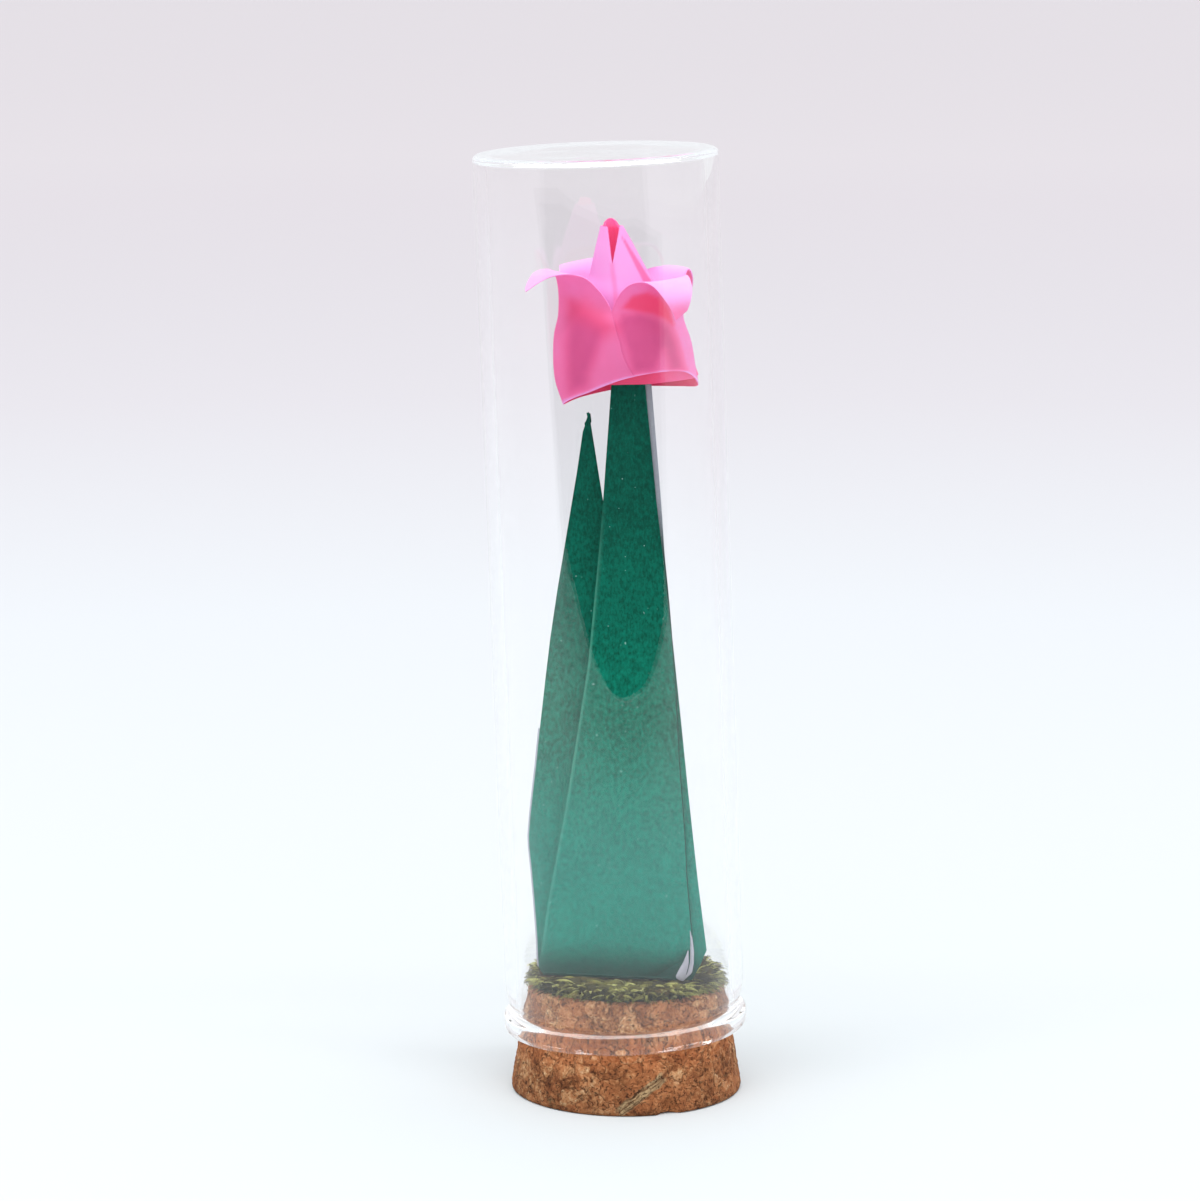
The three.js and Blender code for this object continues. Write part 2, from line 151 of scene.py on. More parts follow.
def turnOnLathe(name, profile, steps):
    # the profile's (radius, height) points are drawn one after the other and spun round
    clearSelection()
    bpy.ops.mesh.primitive_plane_add(size=mm, location=(0, 0, 0))
    piece = nameActive(name)
    bpy.ops.object.mode_set(mode='EDIT')
    bpy.ops.mesh.select_all(action='SELECT')
    bpy.ops.mesh.merge(type='CENTER')
    radius, height = profile[0]
    bpy.ops.transform.translate(value=(radius * mm, 0, height * mm))
    for nextRadius, nextHeight in profile[1:]:
        move = ((nextRadius - radius) * mm, 0, (nextHeight - height) * mm)
        bpy.ops.mesh.extrude_vertices_move(TRANSFORM_OT_translate={'value': move})
        radius, height = nextRadius, nextHeight
    bpy.ops.mesh.select_all(action='SELECT')
    bpy.ops.mesh.spin(steps=steps, angle=2 * math.pi, center=(0, 0, 0), axis=(0, 0, 1))
    bpy.ops.mesh.select_all(action='SELECT')
    bpy.ops.mesh.remove_doubles(threshold=0.001 * mm)
    bpy.ops.mesh.normals_make_consistent(inside=False)
    bpy.ops.object.mode_set(mode='OBJECT')
    return piece


def roundCorner(radius, height, size, start, end, steps):
    # points of an arc, its centre at (radius, height)
    turns = [math.radians(mix(start, end, i / steps)) for i in range(steps + 1)]
    return [(radius + size * math.cos(a), height + size * math.sin(a)) for a in turns]


def paint(piece, name, rule):
    # a number for each corner of the mesh, from its place in millimetres
    layer = piece.data.attributes.new(name, 'FLOAT', 'POINT')
    layer.data.foreach_set('value', [rule(v.co / mm) for v in piece.data.vertices])


# ways to write a finish

def tint(red, green, blue):
    # a colour as seen on a screen, 0 to 255, as the linear one that a shader takes
    shares = [c / 255 for c in (red, green, blue)]
    return tuple(c / 12.92 if c < 0.04 else ((c + 0.055) / 1.055) ** 2.4 for c in shares) + (1,)


class Wire:
    # an output of a node, so that sums on it can be written as sums

    def __init__(self, finish, socket):
        self.finish = finish
        self.socket = socket

    def __add__(self, other):
        return self.finish.maths('ADD', self, other)

    def __radd__(self, other):
        return self.finish.maths('ADD', other, self)

    def __sub__(self, other):
        return self.finish.maths('SUBTRACT', self, other)

    def __rsub__(self, other):
        return self.finish.maths('SUBTRACT', other, self)

    def __mul__(self, other):
        return self.finish.maths('MULTIPLY', self, other)

    def __rmul__(self, other):
        return self.finish.maths('MULTIPLY', other, self)


class Finish:
    # a material, and the ways to add nodes to it

    def __init__(self, name, owner=None):
        self.material = owner or bpy.data.materials.new(name)
        self.material.use_nodes = True
        self.tree = self.material.node_tree
        self.tree.nodes.clear()

    def add(self, kind, settings=None, sockets=None, out=0):
        node = self.tree.nodes.new(kind)
        for key, value in (settings or {}).items():
            if key == 'stops':
                self.setStops(node.color_ramp.elements, value)
            else:
                setattr(node, key, value)
        for key, value in (sockets or {}).items():
            if isinstance(value, Wire):
                self.tree.links.new(value.socket, node.inputs[key])
            else:
                node.inputs[key].default_value = value
        return Wire(self, node.outputs[out]) if len(node.outputs) else None

    def setStops(self, elements, stops):
        while len(elements) < len(stops):
            elements.new(0.5)
        for element, (position, colour) in zip(elements, stops):
            element.position = position
            element.color = colour

    def maths(self, operation, a, b):
        return self.add('ShaderNodeMath', {'operation': operation}, {0: a, 1: b})

    def spot(self, stretch=(1, 1, 1)):
        # the place on the object in millimetres
        place = self.add('ShaderNodeTexCoord', out='Object')
        return self.add('ShaderNodeVectorMath', {'operation': 'MULTIPLY'},
                        {0: place, 1: tuple(1000 * s for s in stretch)})

    def axis(self, place, name):
        return self.add('ShaderNodeSeparateXYZ', sockets={0: place}, out=name)

    def noise(self, place, scale, detail=3, roughness=0.55):
        return self.add('ShaderNodeTexNoise', sockets={
            'Vector': place, 'Scale': scale, 'Detail': detail, 'Roughness': roughness}, out='Fac')

    def between(self, value, low, high):
        # 0 at low, 1 at high and smooth between them
        return self.add('ShaderNodeMapRange', {'interpolation_type': 'SMOOTHSTEP'},
                        {'Value': value, 'From Min': low, 'From Max': high})

    def mixed(self, share, a, b):
        return self.add('ShaderNodeMix', {'data_type': 'RGBA'}, {0: share, 6: a, 7: b}, out=2)

    def ramp(self, value, tones):
        # a colour for a value, through (value, screen colour) stops
        stops = [(position, tint(*colour)) for position, colour in tones]
        return self.add('ShaderNodeValToRGB', {'stops': stops}, {0: value})

    def painted(self, name):
        return self.add('ShaderNodeAttribute', {'attribute_name': name}, out='Fac')

    def bump(self, height, depth, strength=1.0):
        return self.add('ShaderNodeBump', sockets={'Height': height, 'Distance': depth * mm,
                        'Strength': strength})

    def cover(self, shader):
        self.add('ShaderNodeOutputMaterial', sockets={'Surface': shader})
        return self.material


# the cork stopper

cork = {
    'bottomRadius': 14.5,
    'topRadius': 12.1,
    'height': 14.1,
    'edge': 0.45,
    'rings': 44,
    'steps': 260,
    'unevenness': (3.2, -0.3),      # size and depth of the broad lumps
    'pits': (0.55, 0.42),           # and of the fine ones
    'chip': (5.2, -13.6, 0.4),
    'chipSize': 1.5,
    'chipDepth': 0.75,
    'sliverFrom': (-1.3, 0.3),
    'sliverLength': 7.8,
    'sliverWidth': 0.75,
    'tones': [(0.0, (74, 40, 22)), (0.3, (136, 84, 50)), (0.55, (174, 118, 76)), (0.8, (206, 158, 112)),
              (1.0, (234, 202, 160))],
}


def corkRadius(height):
    return mix(cork['bottomRadius'], cork['topRadius'], height / cork['height'])


def displaceBy(piece, size, strength, detail, group):
    pattern = bpy.data.textures.new(piece.name + 'Clouds', 'CLOUDS')
    pattern.noise_scale = size * mm
    pattern.noise_depth = detail
    push = piece.modifiers.new('unevenness', 'DISPLACE')
    push.texture = pattern
    push.texture_coords = 'LOCAL'
    push.strength = strength * mm
    push.mid_level = 0.5
    push.vertex_group = group
    applyModifier(piece, push)


def makeCork():
    edge = cork['edge']
    top = cork['height']
    profile = [(0, 0), (4, 0), (8, 0), (11, 0), (13, 0), (corkRadius(0) - edge, 0),
               (corkRadius(0) - edge * 0.3, edge * 0.3)]
    for i in range(cork['rings'] + 1):
        height = mix(edge, top - edge, i / cork['rings'])
        profile.append((corkRadius(height), height))
    profile += [(corkRadius(top) - edge * 0.3, top - edge * 0.3), (corkRadius(top) - edge, top),
                (10.8, top), (9.6, top), (6, top), (0, top)]
    stopper = turnOnLathe('corkStopper', profile, cork['steps'])
    # the flat underside stays flat, and the top nearly so
    loose = stopper.vertex_groups.new(name='loose')
    chip = Vector(cork['chip'])
    for corner in stopper.data.vertices:
        place = corner.co / mm
        grip = smoothStep(0.02, 0.9, place.z) * (1 - 0.6 * smoothStep(12.9, 14, place.z))
        loose.add([corner.index], grip, 'REPLACE')
        away = (place - chip).length / cork['chipSize']
        if away < 1.6:
            rough = noise.noise(place * 1.3) * 0.35
            sink = max(0, 1 - (away + rough) ** 2) * cork['chipDepth']
            inward = Vector((-place.x, -place.y, 0)).normalized()
            corner.co += (inward * sink + Vector((0, 0, 0.25 * sink))) * mm
    displaceBy(stopper, *cork['unevenness'], 2, 'loose')
    displaceBy(stopper, *cork['pits'], 3, 'loose')
    smoothBy(stopper, 60)
    return stopper


def corkFinish():
    f = Finish('pressedCork')
    place = f.spot()
    warp = f.add('ShaderNodeTexNoise', sockets={'Vector': place, 'Scale': 0.8, 'Detail': 4}, out='Color')
    bent = f.add('ShaderNodeMix', {'data_type': 'RGBA', 'blend_type': 'LINEAR_LIGHT'},
                 {0: 1.0, 6: place, 7: warp}, out=2)
    granule = f.add('ShaderNodeTexVoronoi', sockets={'Vector': bent, 'Scale': 0.42}, out='Color')
    crumb = f.add('ShaderNodeTexVoronoi', sockets={'Vector': bent, 'Scale': 1.25}, out='Color')
    seam = f.add('ShaderNodeTexVoronoi', {'feature': 'DISTANCE_TO_EDGE'}, {'Vector': bent, 'Scale': 0.42})
    broad = f.noise(place, 0.2, 2)
    fine = f.noise(place, 2.4, 5, 0.7)
    blotch = f.noise(bent, 0.9, 5, 0.68)
    height = f.axis(place, 'Z')
    share = f.axis(granule, 'X') * 0.34 + f.axis(crumb, 'Y') * 0.28 + blotch * 1.25 + fine * 1.15 - 1.03
    base = f.ramp(share, cork['tones'])
    # painted shade darkens the cork towards the table; it is also warmer in places and just under the glass
    base = f.mixed(f.between(height, 7, 1.5) * 0.3, base, tint(96, 52, 28))
    colour = f.mixed(f.between(broad, 0.42, 0.6) * 0.35, base, tint(196, 122, 76))
    warm = f.between(height, 4.5, 7.5) * f.between(height, 10.5, 8.5)
    colour = f.mixed(warm * 0.25, colour, tint(206, 112, 64))
    # slivers of bark lie among the granules
    slanted = f.add('ShaderNodeMapping', sockets={
        'Vector': bent, 'Rotation': (0.3, 0.75, 0.2), 'Scale': (0.13, 1.0, 1.0)})
    sliver = f.noise(slanted, 1.1, 4, 0.62)
    bark = f.between(sliver, 0.6, 0.68) * f.between(f.noise(place, 0.26, 1), 0.5, 0.6)
    colour = f.mixed(bark * 0.8, colour, tint(112, 88, 58))
    # and one long one at the front
    eased = f.add('ShaderNodeMix', {'data_type': 'VECTOR'}, {0: 0.35, 4: place, 5: bent}, out=1)
    right = f.axis(eased, 'X') - cork['sliverFrom'][0]
    up = f.axis(eased, 'Z') - cork['sliverFrom'][1]
    length = right * 0.8 + up * 0.6
    across = up * 0.8 - right * 0.6
    width = cork['sliverWidth']
    reach = cork['sliverLength']
    long = f.between(f.maths('ABSOLUTE', across, 0), width, width * 0.7) * f.between(length, 0, 0.8)
    long = long * f.between(length, reach, reach - 0.8) * f.between(f.axis(place, 'Y'), -8, -10)
    strand = f.add('ShaderNodeCombineXYZ', sockets={0: length * 0.1, 1: across, 2: 0.0})
    streak = f.between(f.noise(strand, 3.2, 2, 0.5), 0.38, 0.6)
    colour = f.mixed(long * 0.85, colour, f.mixed(streak, tint(96, 72, 48), tint(182, 156, 116)))
    pit = f.between(f.noise(bent, 2.5, 3, 0.65), 0.57, 0.65)
    colour = f.mixed(pit * 0.75, colour, tint(64, 34, 18))
    crack = (1 - f.between(seam, 0.0, 0.05)) * f.between(f.noise(place, 0.9, 3), 0.47, 0.56)
    colour = f.mixed(crack * 0.65, colour, tint(66, 36, 20))
    relief = f.between(seam, 0.0, 0.1) * 0.35 + fine * 0.5 + blotch * 0.5 - pit * 0.7 + bark * 0.3
    shader = f.add('ShaderNodeBsdfPrincipled', sockets={
        'Base Color': colour, 'Roughness': 0.78 + fine * 0.2, 'Specular IOR Level': 0.2,
        'Normal': f.bump(relief, 0.4)})
    return f.cover(shader)


corkStopper = makeCork()
corkStopper.data.materials.append(corkFinish())
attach(corkStopper, 'root')
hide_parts('cork_stopper')
print('cork stopper done')


# the green paper: stem and leaf

greenSheet = {
    'foot': 15.3,
    'stemTop': 101.0,
    'thickness': 0.14,
    'step': 1.6,
    'ripple': 0.1,
    'backTurn': 0.75,       # how far the back panels turn away from the front ones
    'backShare': 0.83,      # and how wide they are beside them
    'hemRise': 0.35,
    'hemSteps': 8,
    'flapProud': 0.42,
    'innerTop': 46,
    'tones': (tint(0, 80, 62), tint(4, 128, 103)),
    'edgeTones': (tint(40, 126, 106), tint(84, 160, 140)),
    'reverseTones': (tint(164, 164, 176), tint(204, 206, 216)),
}
stemOpenEdge = [(-10.18, 15.3), (-10.81, 16.2), (-10.81, 16.7), (-10.56, 18.1), (-9.67, 24.6), (-7.53, 36.5),
                (-6.16, 45.4), (-4.79, 54.3), (-3.55, 67.5), (-2.93, 74.7), (-1.95, 88.8), (-1.1, 101.0)]
stemFold = [(7.9, 15.3), (8.89, 17.3), (9.6, 19.15), (8.59, 27.8), (7.47, 38.6), (6.55, 48.0), (5.55, 57.8),
            (4.6, 67.5), (3.55, 75.1), (2.5, 88.9), (1.8, 101.0)]
stripEdge = [(7.6, 15.3), (7.95, 17.5), (8.12, 19.1), (7.86, 22.0), (7.35, 27.8), (7.07, 33.7), (6.38, 42.8),
             (5.96, 51.7), (5.52, 57.8), (5.1, 63.0), (4.57, 68.3), (4.12, 75.1), (2.98, 88.9), (2.1, 101.0)]
flapEdge = [(5.79, 15.45), (6.4, 16.6), (7.44, 18.9), (8.02, 19.3), (7.76, 22.0), (7.25, 27.8), (6.97, 33.7),
            (6.28, 42.8), (5.84, 51.7), (5.39, 57.8), (4.33, 68.4), (3.54, 75.1), (2.21, 88.9), (1.1, 101.0)]
leafOpenEdge = [(-10.6, 15.3), (-10.95, 16.3), (-11.07, 19.1), (-11.44, 23.9), (-11.81, 28.0),
                (-12.15, 31.1), (-12.2, 32.4), (-12.04, 34.6), (-11.66, 38.1), (-11.28, 41.3),
                (-10.9, 45.2), (-10.14, 52.0), (-9.51, 57.3), (-8.63, 63.3), (-7.38, 70.8),
                (-6.14, 78.3), (-5.45, 83.1), (-5.19, 83.9), (-5.25, 84.15), (-5.07, 84.45),
                (-4.84, 85.0), (-4.92, 85.3), (-4.91, 85.5)]
leafSpine = [(7.9, 15.3), (-2.93, 74.7), (-4.55, 84.8), (-4.62, 85.3), (-4.84, 85.5)]
foldedCorner = [(7.44, 19.4), (6.2, 18.3), (3.01, 16.1), (1.6, 15.3)]


def stemFront(x, z):
    return -4.45 - 0.181 * (x - 0.5) + 0.0432 * (z - 16)


def leafFront(x, z):
    return -4.95 - 0.181 * (x - 7.9) + 0.0526 * (z - 15.3)


def ripple(x, z, seed):
    wave = noise.noise(Vector((x * 0.14, z * 0.07, seed)))
    return greenSheet['ripple'] * wave


def creased(name, openEdge, foldEdge, front, top, marks, seed, columns=14):
    # a pair of panels in one sheet: from the open edge to the fold, and back behind it
    rows = []
    for z in heightsFor(greenSheet['foot'], top, greenSheet['step'], marks):
        left = along(openEdge, z)
        fold = along(foldEdge, z)
        row = []
        for i in range(columns + 1):
            x = mix(left, fold, i / columns)
            row.append((x, front(x, z) + ripple(x, z, seed), z))
        for i in range(1, columns + 1):
            gone = (fold - left) * greenSheet['backShare'] * i / columns
            x = fold - gone
            y = front(fold, z) + greenSheet['backTurn'] * gone
            row.append((x, y + ripple(x, z, seed + 5) * min(1, i / 3), z))
        rows.append(row)
    return sheetThrough(name, rows)


def flat(name, leftEdge, rightEdge, front, low, top, marks, seed, columns=14):
    rows = []
    for z in heightsFor(low, top, greenSheet['step'], marks):
        shares = [0, 0.012, 0.026] + [i / columns for i in range(1, columns + 1)]
        spots = [mix(along(leftEdge, z), along(rightEdge, z), share) for share in shares]
        rows.append([(x, front(x, z) + ripple(x, z, seed), z) for x in spots])
    return sheetThrough(name, rows)


def shifted(edge, by):
    return [(x + by, z) for x, z in edge]


def flapFront(x, z):
    # proud of the sheet below it, raised a little beside its edge, with its bottom corner folded in
    y = stemFront(x, z) - greenSheet['flapProud']
    y -= 0.08 * smoothStep(1.05, 0.85, along(flapEdge[3:], z) - x) if z > 19 else 0
    if z < 19.4:
        beyond = x - along(foldedCorner[::-1], z)
        y += 0.32 * max(0, beyond)
    return y


def hemRows(left, right, columns, front, behind):
    # the bottom fold, where the sheet turns up from one panel into the next
    rise = greenSheet['hemRise']
    top = greenSheet['foot'] + rise
    rows = []
    for step in range(greenSheet['hemSteps'] + 1):
        turn = math.pi * step / greenSheet['hemSteps']
        row = []
        for i in range(columns + 1):
            x = mix(left, right, i / columns)
            near = front(x, top)
            far = behind(x, top)
            middle = (near + far) / 2
            half = (far - near) / 2
            row.append((x, middle + half * math.cos(turn), top - rise * math.sin(turn)))
        rows.append(row)
    return rows


def greenFinish(name, kind='green'):
    f = Finish(name)
    place = f.spot()
    mottle = f.noise(place, 1.7, 4, 0.62)
    fibre = f.noise(f.spot((1, 1, 0.4)), 3.6, 4, 0.7)
    height = f.axis(place, 'Z')
    if kind in ('reverse', 'strip'):
        colour = f.mixed(mottle, *greenSheet['reverseTones'])
        colour = f.mixed(fibre * 0.3, colour, tint(140, 140, 154))
        if kind == 'strip':
            # painted shade: in this narrow strip the white reverse is greyed, and lower down the strip shows
            # dark green
            shadedGrey = f.mixed(0.55, colour, tint(118, 124, 128))
            colour = f.mixed(f.between(height, 76, 66), shadedGrey, tint(6, 66, 54))
    else:
        low, high = greenSheet['tones'] if kind == 'green' else greenSheet['edgeTones']
        share = mottle * 0.8 + fibre * 0.9 + f.noise(place, 0.09, 2) * 0.4 - 0.55
        colour = f.mixed(f.between(share, 0.22, 0.78), low, high)
        colour = f.mixed(f.between(height, 40, 84) * 0.6, colour, tint(3, 52, 44))
        fleck = f.between(f.noise(f.spot((1, 1, 0.7)), 4.2, 3, 0.6), 0.6, 0.68)
        colour = f.mixed(fleck * 0.3, colour, tint(0, 46, 38))
        speck = f.between(f.noise(place, 2.6, 0), 0.83, 0.87)
        colour = f.mixed(speck * 0.5, colour, tint(150, 200, 190))
        # painted highlight along the flap's open edge
        colour = f.mixed(f.painted('rim') * 0.35, colour, tint(96, 176, 152))
        # painted reflection: a pale haze over the lower stem
        colour = f.mixed(f.between(height, 50, 26) * 0.3, colour, tint(30, 160, 150))
        # painted shade: darker at the very foot, where the sheet meets the moss
        colour = f.mixed(f.between(height, 20.5, 15.5) * 0.8, colour, tint(8, 44, 38))
    shader = f.add('ShaderNodeBsdfPrincipled', sockets={
        'Base Color': colour, 'Roughness': 0.7 + fibre * 0.2, 'Specular IOR Level': 0.06,
        'Normal': f.bump(fibre * 0.6 + mottle * 0.4, 0.008, 0.3)})
    return f.cover(shader)


def backFlapAt(x, z):
    # just behind the stem's back panel
    fold = along(stemFold, z)
    return stemFront(fold, z) + greenSheet['backTurn'] * (fold - x) + 0.2


def hemFront(x, z):
    # follows the flap, and past its folded corner the sheet below
    flapX = min(x, 1.5)
    return flapFront(flapX, z) + stemFront(x, z) - stemFront(flapX, z)


def stemRimHighlight(place):
    # painted highlight: the flap's open edge catches the light, less so higher up
    return smoothStep(0.45, 0.1, place.x - along(stemOpenEdge, place.z)) * smoothStep(78, 60, place.z)


def makeStemAndLeaf():
    green = greenFinish('greenPaper')
    white = greenFinish('greenPaperReverse', 'reverse')
    edge = greenFinish('greenPaperEdge', 'edge')
    shadedWhite = greenFinish('greenPaperStrip', 'strip')
    foot = greenSheet['foot']
    top = greenSheet['stemTop']
    thick = greenSheet['thickness']
    marks = [15.45, 16.2, 17.3, 18.1, 19.15, 21, 24.6, 30.6]
    leafMarks = [28, 31.1, 32.4, 34.6]
    tipMarks = [83.1, 83.9, 84.15, 84.45, 84.8, 85.0, 85.3]
    stem = creased('stemSheet', stemOpenEdge, stemFold, stemFront, top, marks, 1.3)
    sheets = [thicken(stem, thick, (green, green, edge))]
    strip = flat('strip', shifted(stripEdge, -4), stripEdge, lambda x, z: stemFront(x, z) - 0.2, foot + 4.2,
                 top, marks, 1.3, 8)
    sheets.append(thicken(strip, thick, (shadedWhite,) * 3))
    flapMarks = [15.8, 16.6, 18.9, 19.3]
    flap = flat('flap', stemOpenEdge, flapEdge, flapFront, foot, top, marks + flapMarks, 1.3, 26)
    sheets.append(thicken(flap, thick, (green, white, edge)))
    paint(flap, 'rim', stemRimHighlight)
    backFold = [(along(stemFold, z) - 0.8, z) for z in heightsFor(foot, top, 6, [19.15])]
    backOpen = [(mix(along(stemFold, z), along(stemOpenEdge, z), greenSheet['backShare']), z)
                for z in heightsFor(foot, top, 2, marks)]
    backFlap = flat('backFlap', backFold, backOpen, backFlapAt, foot, top, marks, 7.1, 20)
    sheets.append(thicken(backFlap, thick, (green, white, edge)))
    leaf = creased('leafSheet', leafOpenEdge, leafSpine, leafFront, 85.5, marks + leafMarks + tipMarks, 3.7)
    sheets.append(thicken(leaf, thick, (green, green, edge)))
    # the reverse looks out past the leaf's open edge, and tapers away upwards
    innerTop = greenSheet['innerTop']
    innerEdge = [(x + 0.1 + 2.2 * smoothStep(innerTop, 22, z), z) for x, z in leafOpenEdge]
    leafInner = flat('leafInner', shifted(leafOpenEdge, -0.22), innerEdge,
                     lambda x, z: leafFront(x, z) + 0.18, foot + 0.6, innerTop, marks + leafMarks, 3.7, 6)
    sheets.append(thicken(leafInner, thick, (white,) * 3))
    hem = sheetThrough('hem', hemRows(-10.1, 5.6, 20, hemFront, leafFront)[::-1])
    sheets.append(thicken(hem, thick, (green, green, edge)))
    sheets += makeLobes(white)
    whole = joinPieces('stemAndLeaf', sheets)
    smoothBy(whole, 35)
    return whole


# two small curls of the white reverse that look out of the bottom corner
longLobe = {
    'left': [(6.74, 15.28), (7.36, 16.29), (7.66, 17.57), (7.71, 18.85), (7.65, 20.32), (7.52, 22.14)],
    'right': [(6.83, 15.22), (7.9, 16.29), (8.12, 17.57), (8.15, 19.03), (7.97, 20.5), (7.7, 22.14)],
}
shortLobe = {
    'left': [(6.57, 15.3), (6.1, 15.5), (5.95, 15.83), (6.32, 16.65), (6.92, 17.75), (7.41, 19.13)],
    'right': [(6.83, 15.3), (7.1, 15.8), (7.3, 16.5), (7.5, 17.4), (7.52, 18.12), (7.46, 19.13)],
}


def makeLobes(finish):
    lobes = []
    for name, shape, proud in (('longLobe', longLobe, 0.35), ('shortLobe', shortLobe, 0.5)):
        low = shape['left'][0][1]
        high = shape['left'][-1][1]
        rows = []
        for z in heightsFor(low, high, 0.3, []):
            row = []
            for i in range(9):
                across = i / 8
                x = mix(along(shape['left'], z), along(shape['right'], z), across)
                dome = math.sin(math.pi * across) * math.sin(math.pi * (z - low) / (high - low)) ** 0.5
                row.append((x, stemFront(x, z) - proud - 0.22 * dome, z))
            rows.append(row)
        lobes.append(thicken(sheetThrough(name, rows), 0.12, (finish,) * 3))
    return lobes


stemAndLeaf = makeStemAndLeaf()
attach(stemAndLeaf, 'root')
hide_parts('paper_stem_and_leaf')
print('stem and leaf done')


# the pink blossom

blossom = {
    'thickness': 0.14,
    'centreY': -0.3,
    'columns': 26,
    'bodyRows': 26,
    'petalRows': 30,
    'spireColumns': 110,
    'bow': 1.5,
    'overlap': 9,
    'easeTurns': 6,         # how often the join of body and petal is smoothed
    'easeReach': 5,         # and how many rows to each side of it
    'tones': [(0.0, (252, 200, 254)), (0.25, (252, 174, 240)), (0.5, (255, 132, 192)),
              (0.75, (246, 112, 172)), (1.0, (226, 94, 154))],
    'glow': (255, 90, 136),
}
# level curves of the body from its mouth up, with heights from the right round by the back in eighths
bodyLevels = [
    {'x': 0.5, 'width': 8.35, 'depth': 4.1, 'heights': (89.2, 88.7, 88.3, 87.4, 86.7, 88.2, 90.6, 91.1)},
    {'x': -0.25, 'width': 8.65, 'depth': 4.7, 'heights': (91.8, 91.4, 91.2, 90.6, 90.2, 91.3, 92.8, 93.2)},
    {'x': -0.55, 'width': 8.45, 'depth': 5.0, 'heights': (94.6, 94.7, 94.9, 94.9, 94.8, 95.1, 95.4, 95.1)},
    {'x': -0.75, 'width': 7.7, 'depth': 5.0, 'heights': (97.4, 97.6, 97.9, 97.9, 97.7, 97.5, 97.3, 97.3)},
    {'x': -0.65, 'width': 7.7, 'depth': 4.8, 'heights': (99.2, 99.6, 99.9, 100, 100, 99.4, 98.7, 98.9)},
]
# each petal is a corner of the sheet, between a seam or back edge (near) and a side fold (far)
petals = [
    {'name': 'frontLeft', 'from': 261, 'to': 180,
     'near': [(-2.9, -5.3, 100.6), (-4.8, -5.3, 102.6), (-6.6, -5.1, 103.15), (-8.9, -4.9, 102.95),
              (-10.5, -4.7, 102.2), (-12.1, -4.5, 101.05)],
     'far': [(-8.55, -0.6, 102.0), (-9.3, -1.5, 103.3), (-10.4, -2.6, 103.45), (-11.3, -3.4, 103.1),
             (-11.9, -3.9, 102.2), (-12.2, -4.3, 101.3)]},
    {'name': 'frontRight', 'from': 261, 'to': 360,
     'near': [(-1.6, -5.3, 99.7), (-0.8, -5.7, 101.1), (0.3, -6.1, 102.1), (1.6, -6.5, 102.4),
              (3.0, -7.0, 101.9), (4.2, -7.4, 100.5), (5.0, -7.4, 99.2), (5.5, -7.2, 97.9)],
     'far': [(7.1, -1.0, 100.9), (7.05, -2.2, 102.4), (7.1, -3.6, 102.9), (7.3, -5.0, 102.5),
             (7.4, -6.0, 101.4), (7.25, -6.4, 100.5), (7.05, -6.5, 99.7), (6.8, -6.6, 99.0)]},
    {'name': 'backRight', 'from': 97, 'to': 0,
     'near': [(0.4, 4.9, 101.2), (2.4, 5.0, 102.7), (4.4, 4.9, 103.2), (6.4, 4.6, 103.0),
              (7.6, 4.1, 102.1), (8.0, 3.7, 100.6), (7.6, 3.5, 99.3)],
     'far': [(7.2, 0.5, 101.0), (7.3, 1.1, 102.3), (7.6, 1.8, 103.0), (8.0, 2.3, 102.8),
             (8.3, 2.7, 101.9), (8.2, 2.9, 100.8), (7.8, 3.0, 99.6)]},
    {'name': 'backLeft', 'from': 97, 'to': 180,
     'near': [(-1.7, 4.9, 101.4), (-2.4, 5.4, 103.2), (-3.4, 6.0, 104.0), (-4.9, 6.7, 103.6),
              (-5.9, 7.2, 102.2), (-6.5, 7.3, 100.7)],
     'far': [(-8.4, 0.9, 101.6), (-8.3, 2.1, 102.9), (-8.3, 3.6, 103.3), (-8.3, 5.1, 102.8),
             (-8.0, 6.2, 101.6), (-7.0, 6.9, 100.4)]},
]


def heightAround(heights, deg):
    n = len(heights)
    place = (deg % 360) * n / 360
    i = int(place)
    t = place - i
    a, b, c, d = [heights[(i + k) % n] for k in (-1, 0, 1, 2)]
    return b + 0.5 * t * (c - a + t * (2 * a - 5 * b + 4 * c - d + t * (3 * (b - c) + d - a)))


def onLevel(level, deg, pinch=0.8, inset=0):
    c = math.cos(math.radians(deg))
    s = math.sin(math.radians(deg))
    y = blossom['centreY'] + (level['depth'] - inset) * s * abs(s) ** pinch
    return Vector((level['x'] + (level['width'] - inset) * c, y, heightAround(level['heights'], deg)))


def onBody(deg, share, inset=0):
    # share is 0 at the mouth and 1 where the petals leave the body
    return curveThrough([onLevel(level, deg, inset=inset) for level in bodyLevels], share)


def seamAngle(share):
    # the front seam runs down to the right
    return mix(272, 261, share)


def petalSpot(petal, share, up):
    # share is 0 at the near edge and 1 at the far edge, up runs from the body to the tip
    rim = bodyLevels[-1]
    start = onLevel(rim, petal['from'])
    end = onLevel(rim, petal['to'])
    near = curveThrough([start] + [Vector(p) for p in petal['near']], up)
    far = curveThrough([end] + [Vector(p) for p in petal['far']], up)
    bow = onLevel(rim, mix(petal['from'], petal['to'], share)) - start.lerp(end, share)
    return near.lerp(far, share) + bow * (1 - up) ** blossom['bow']


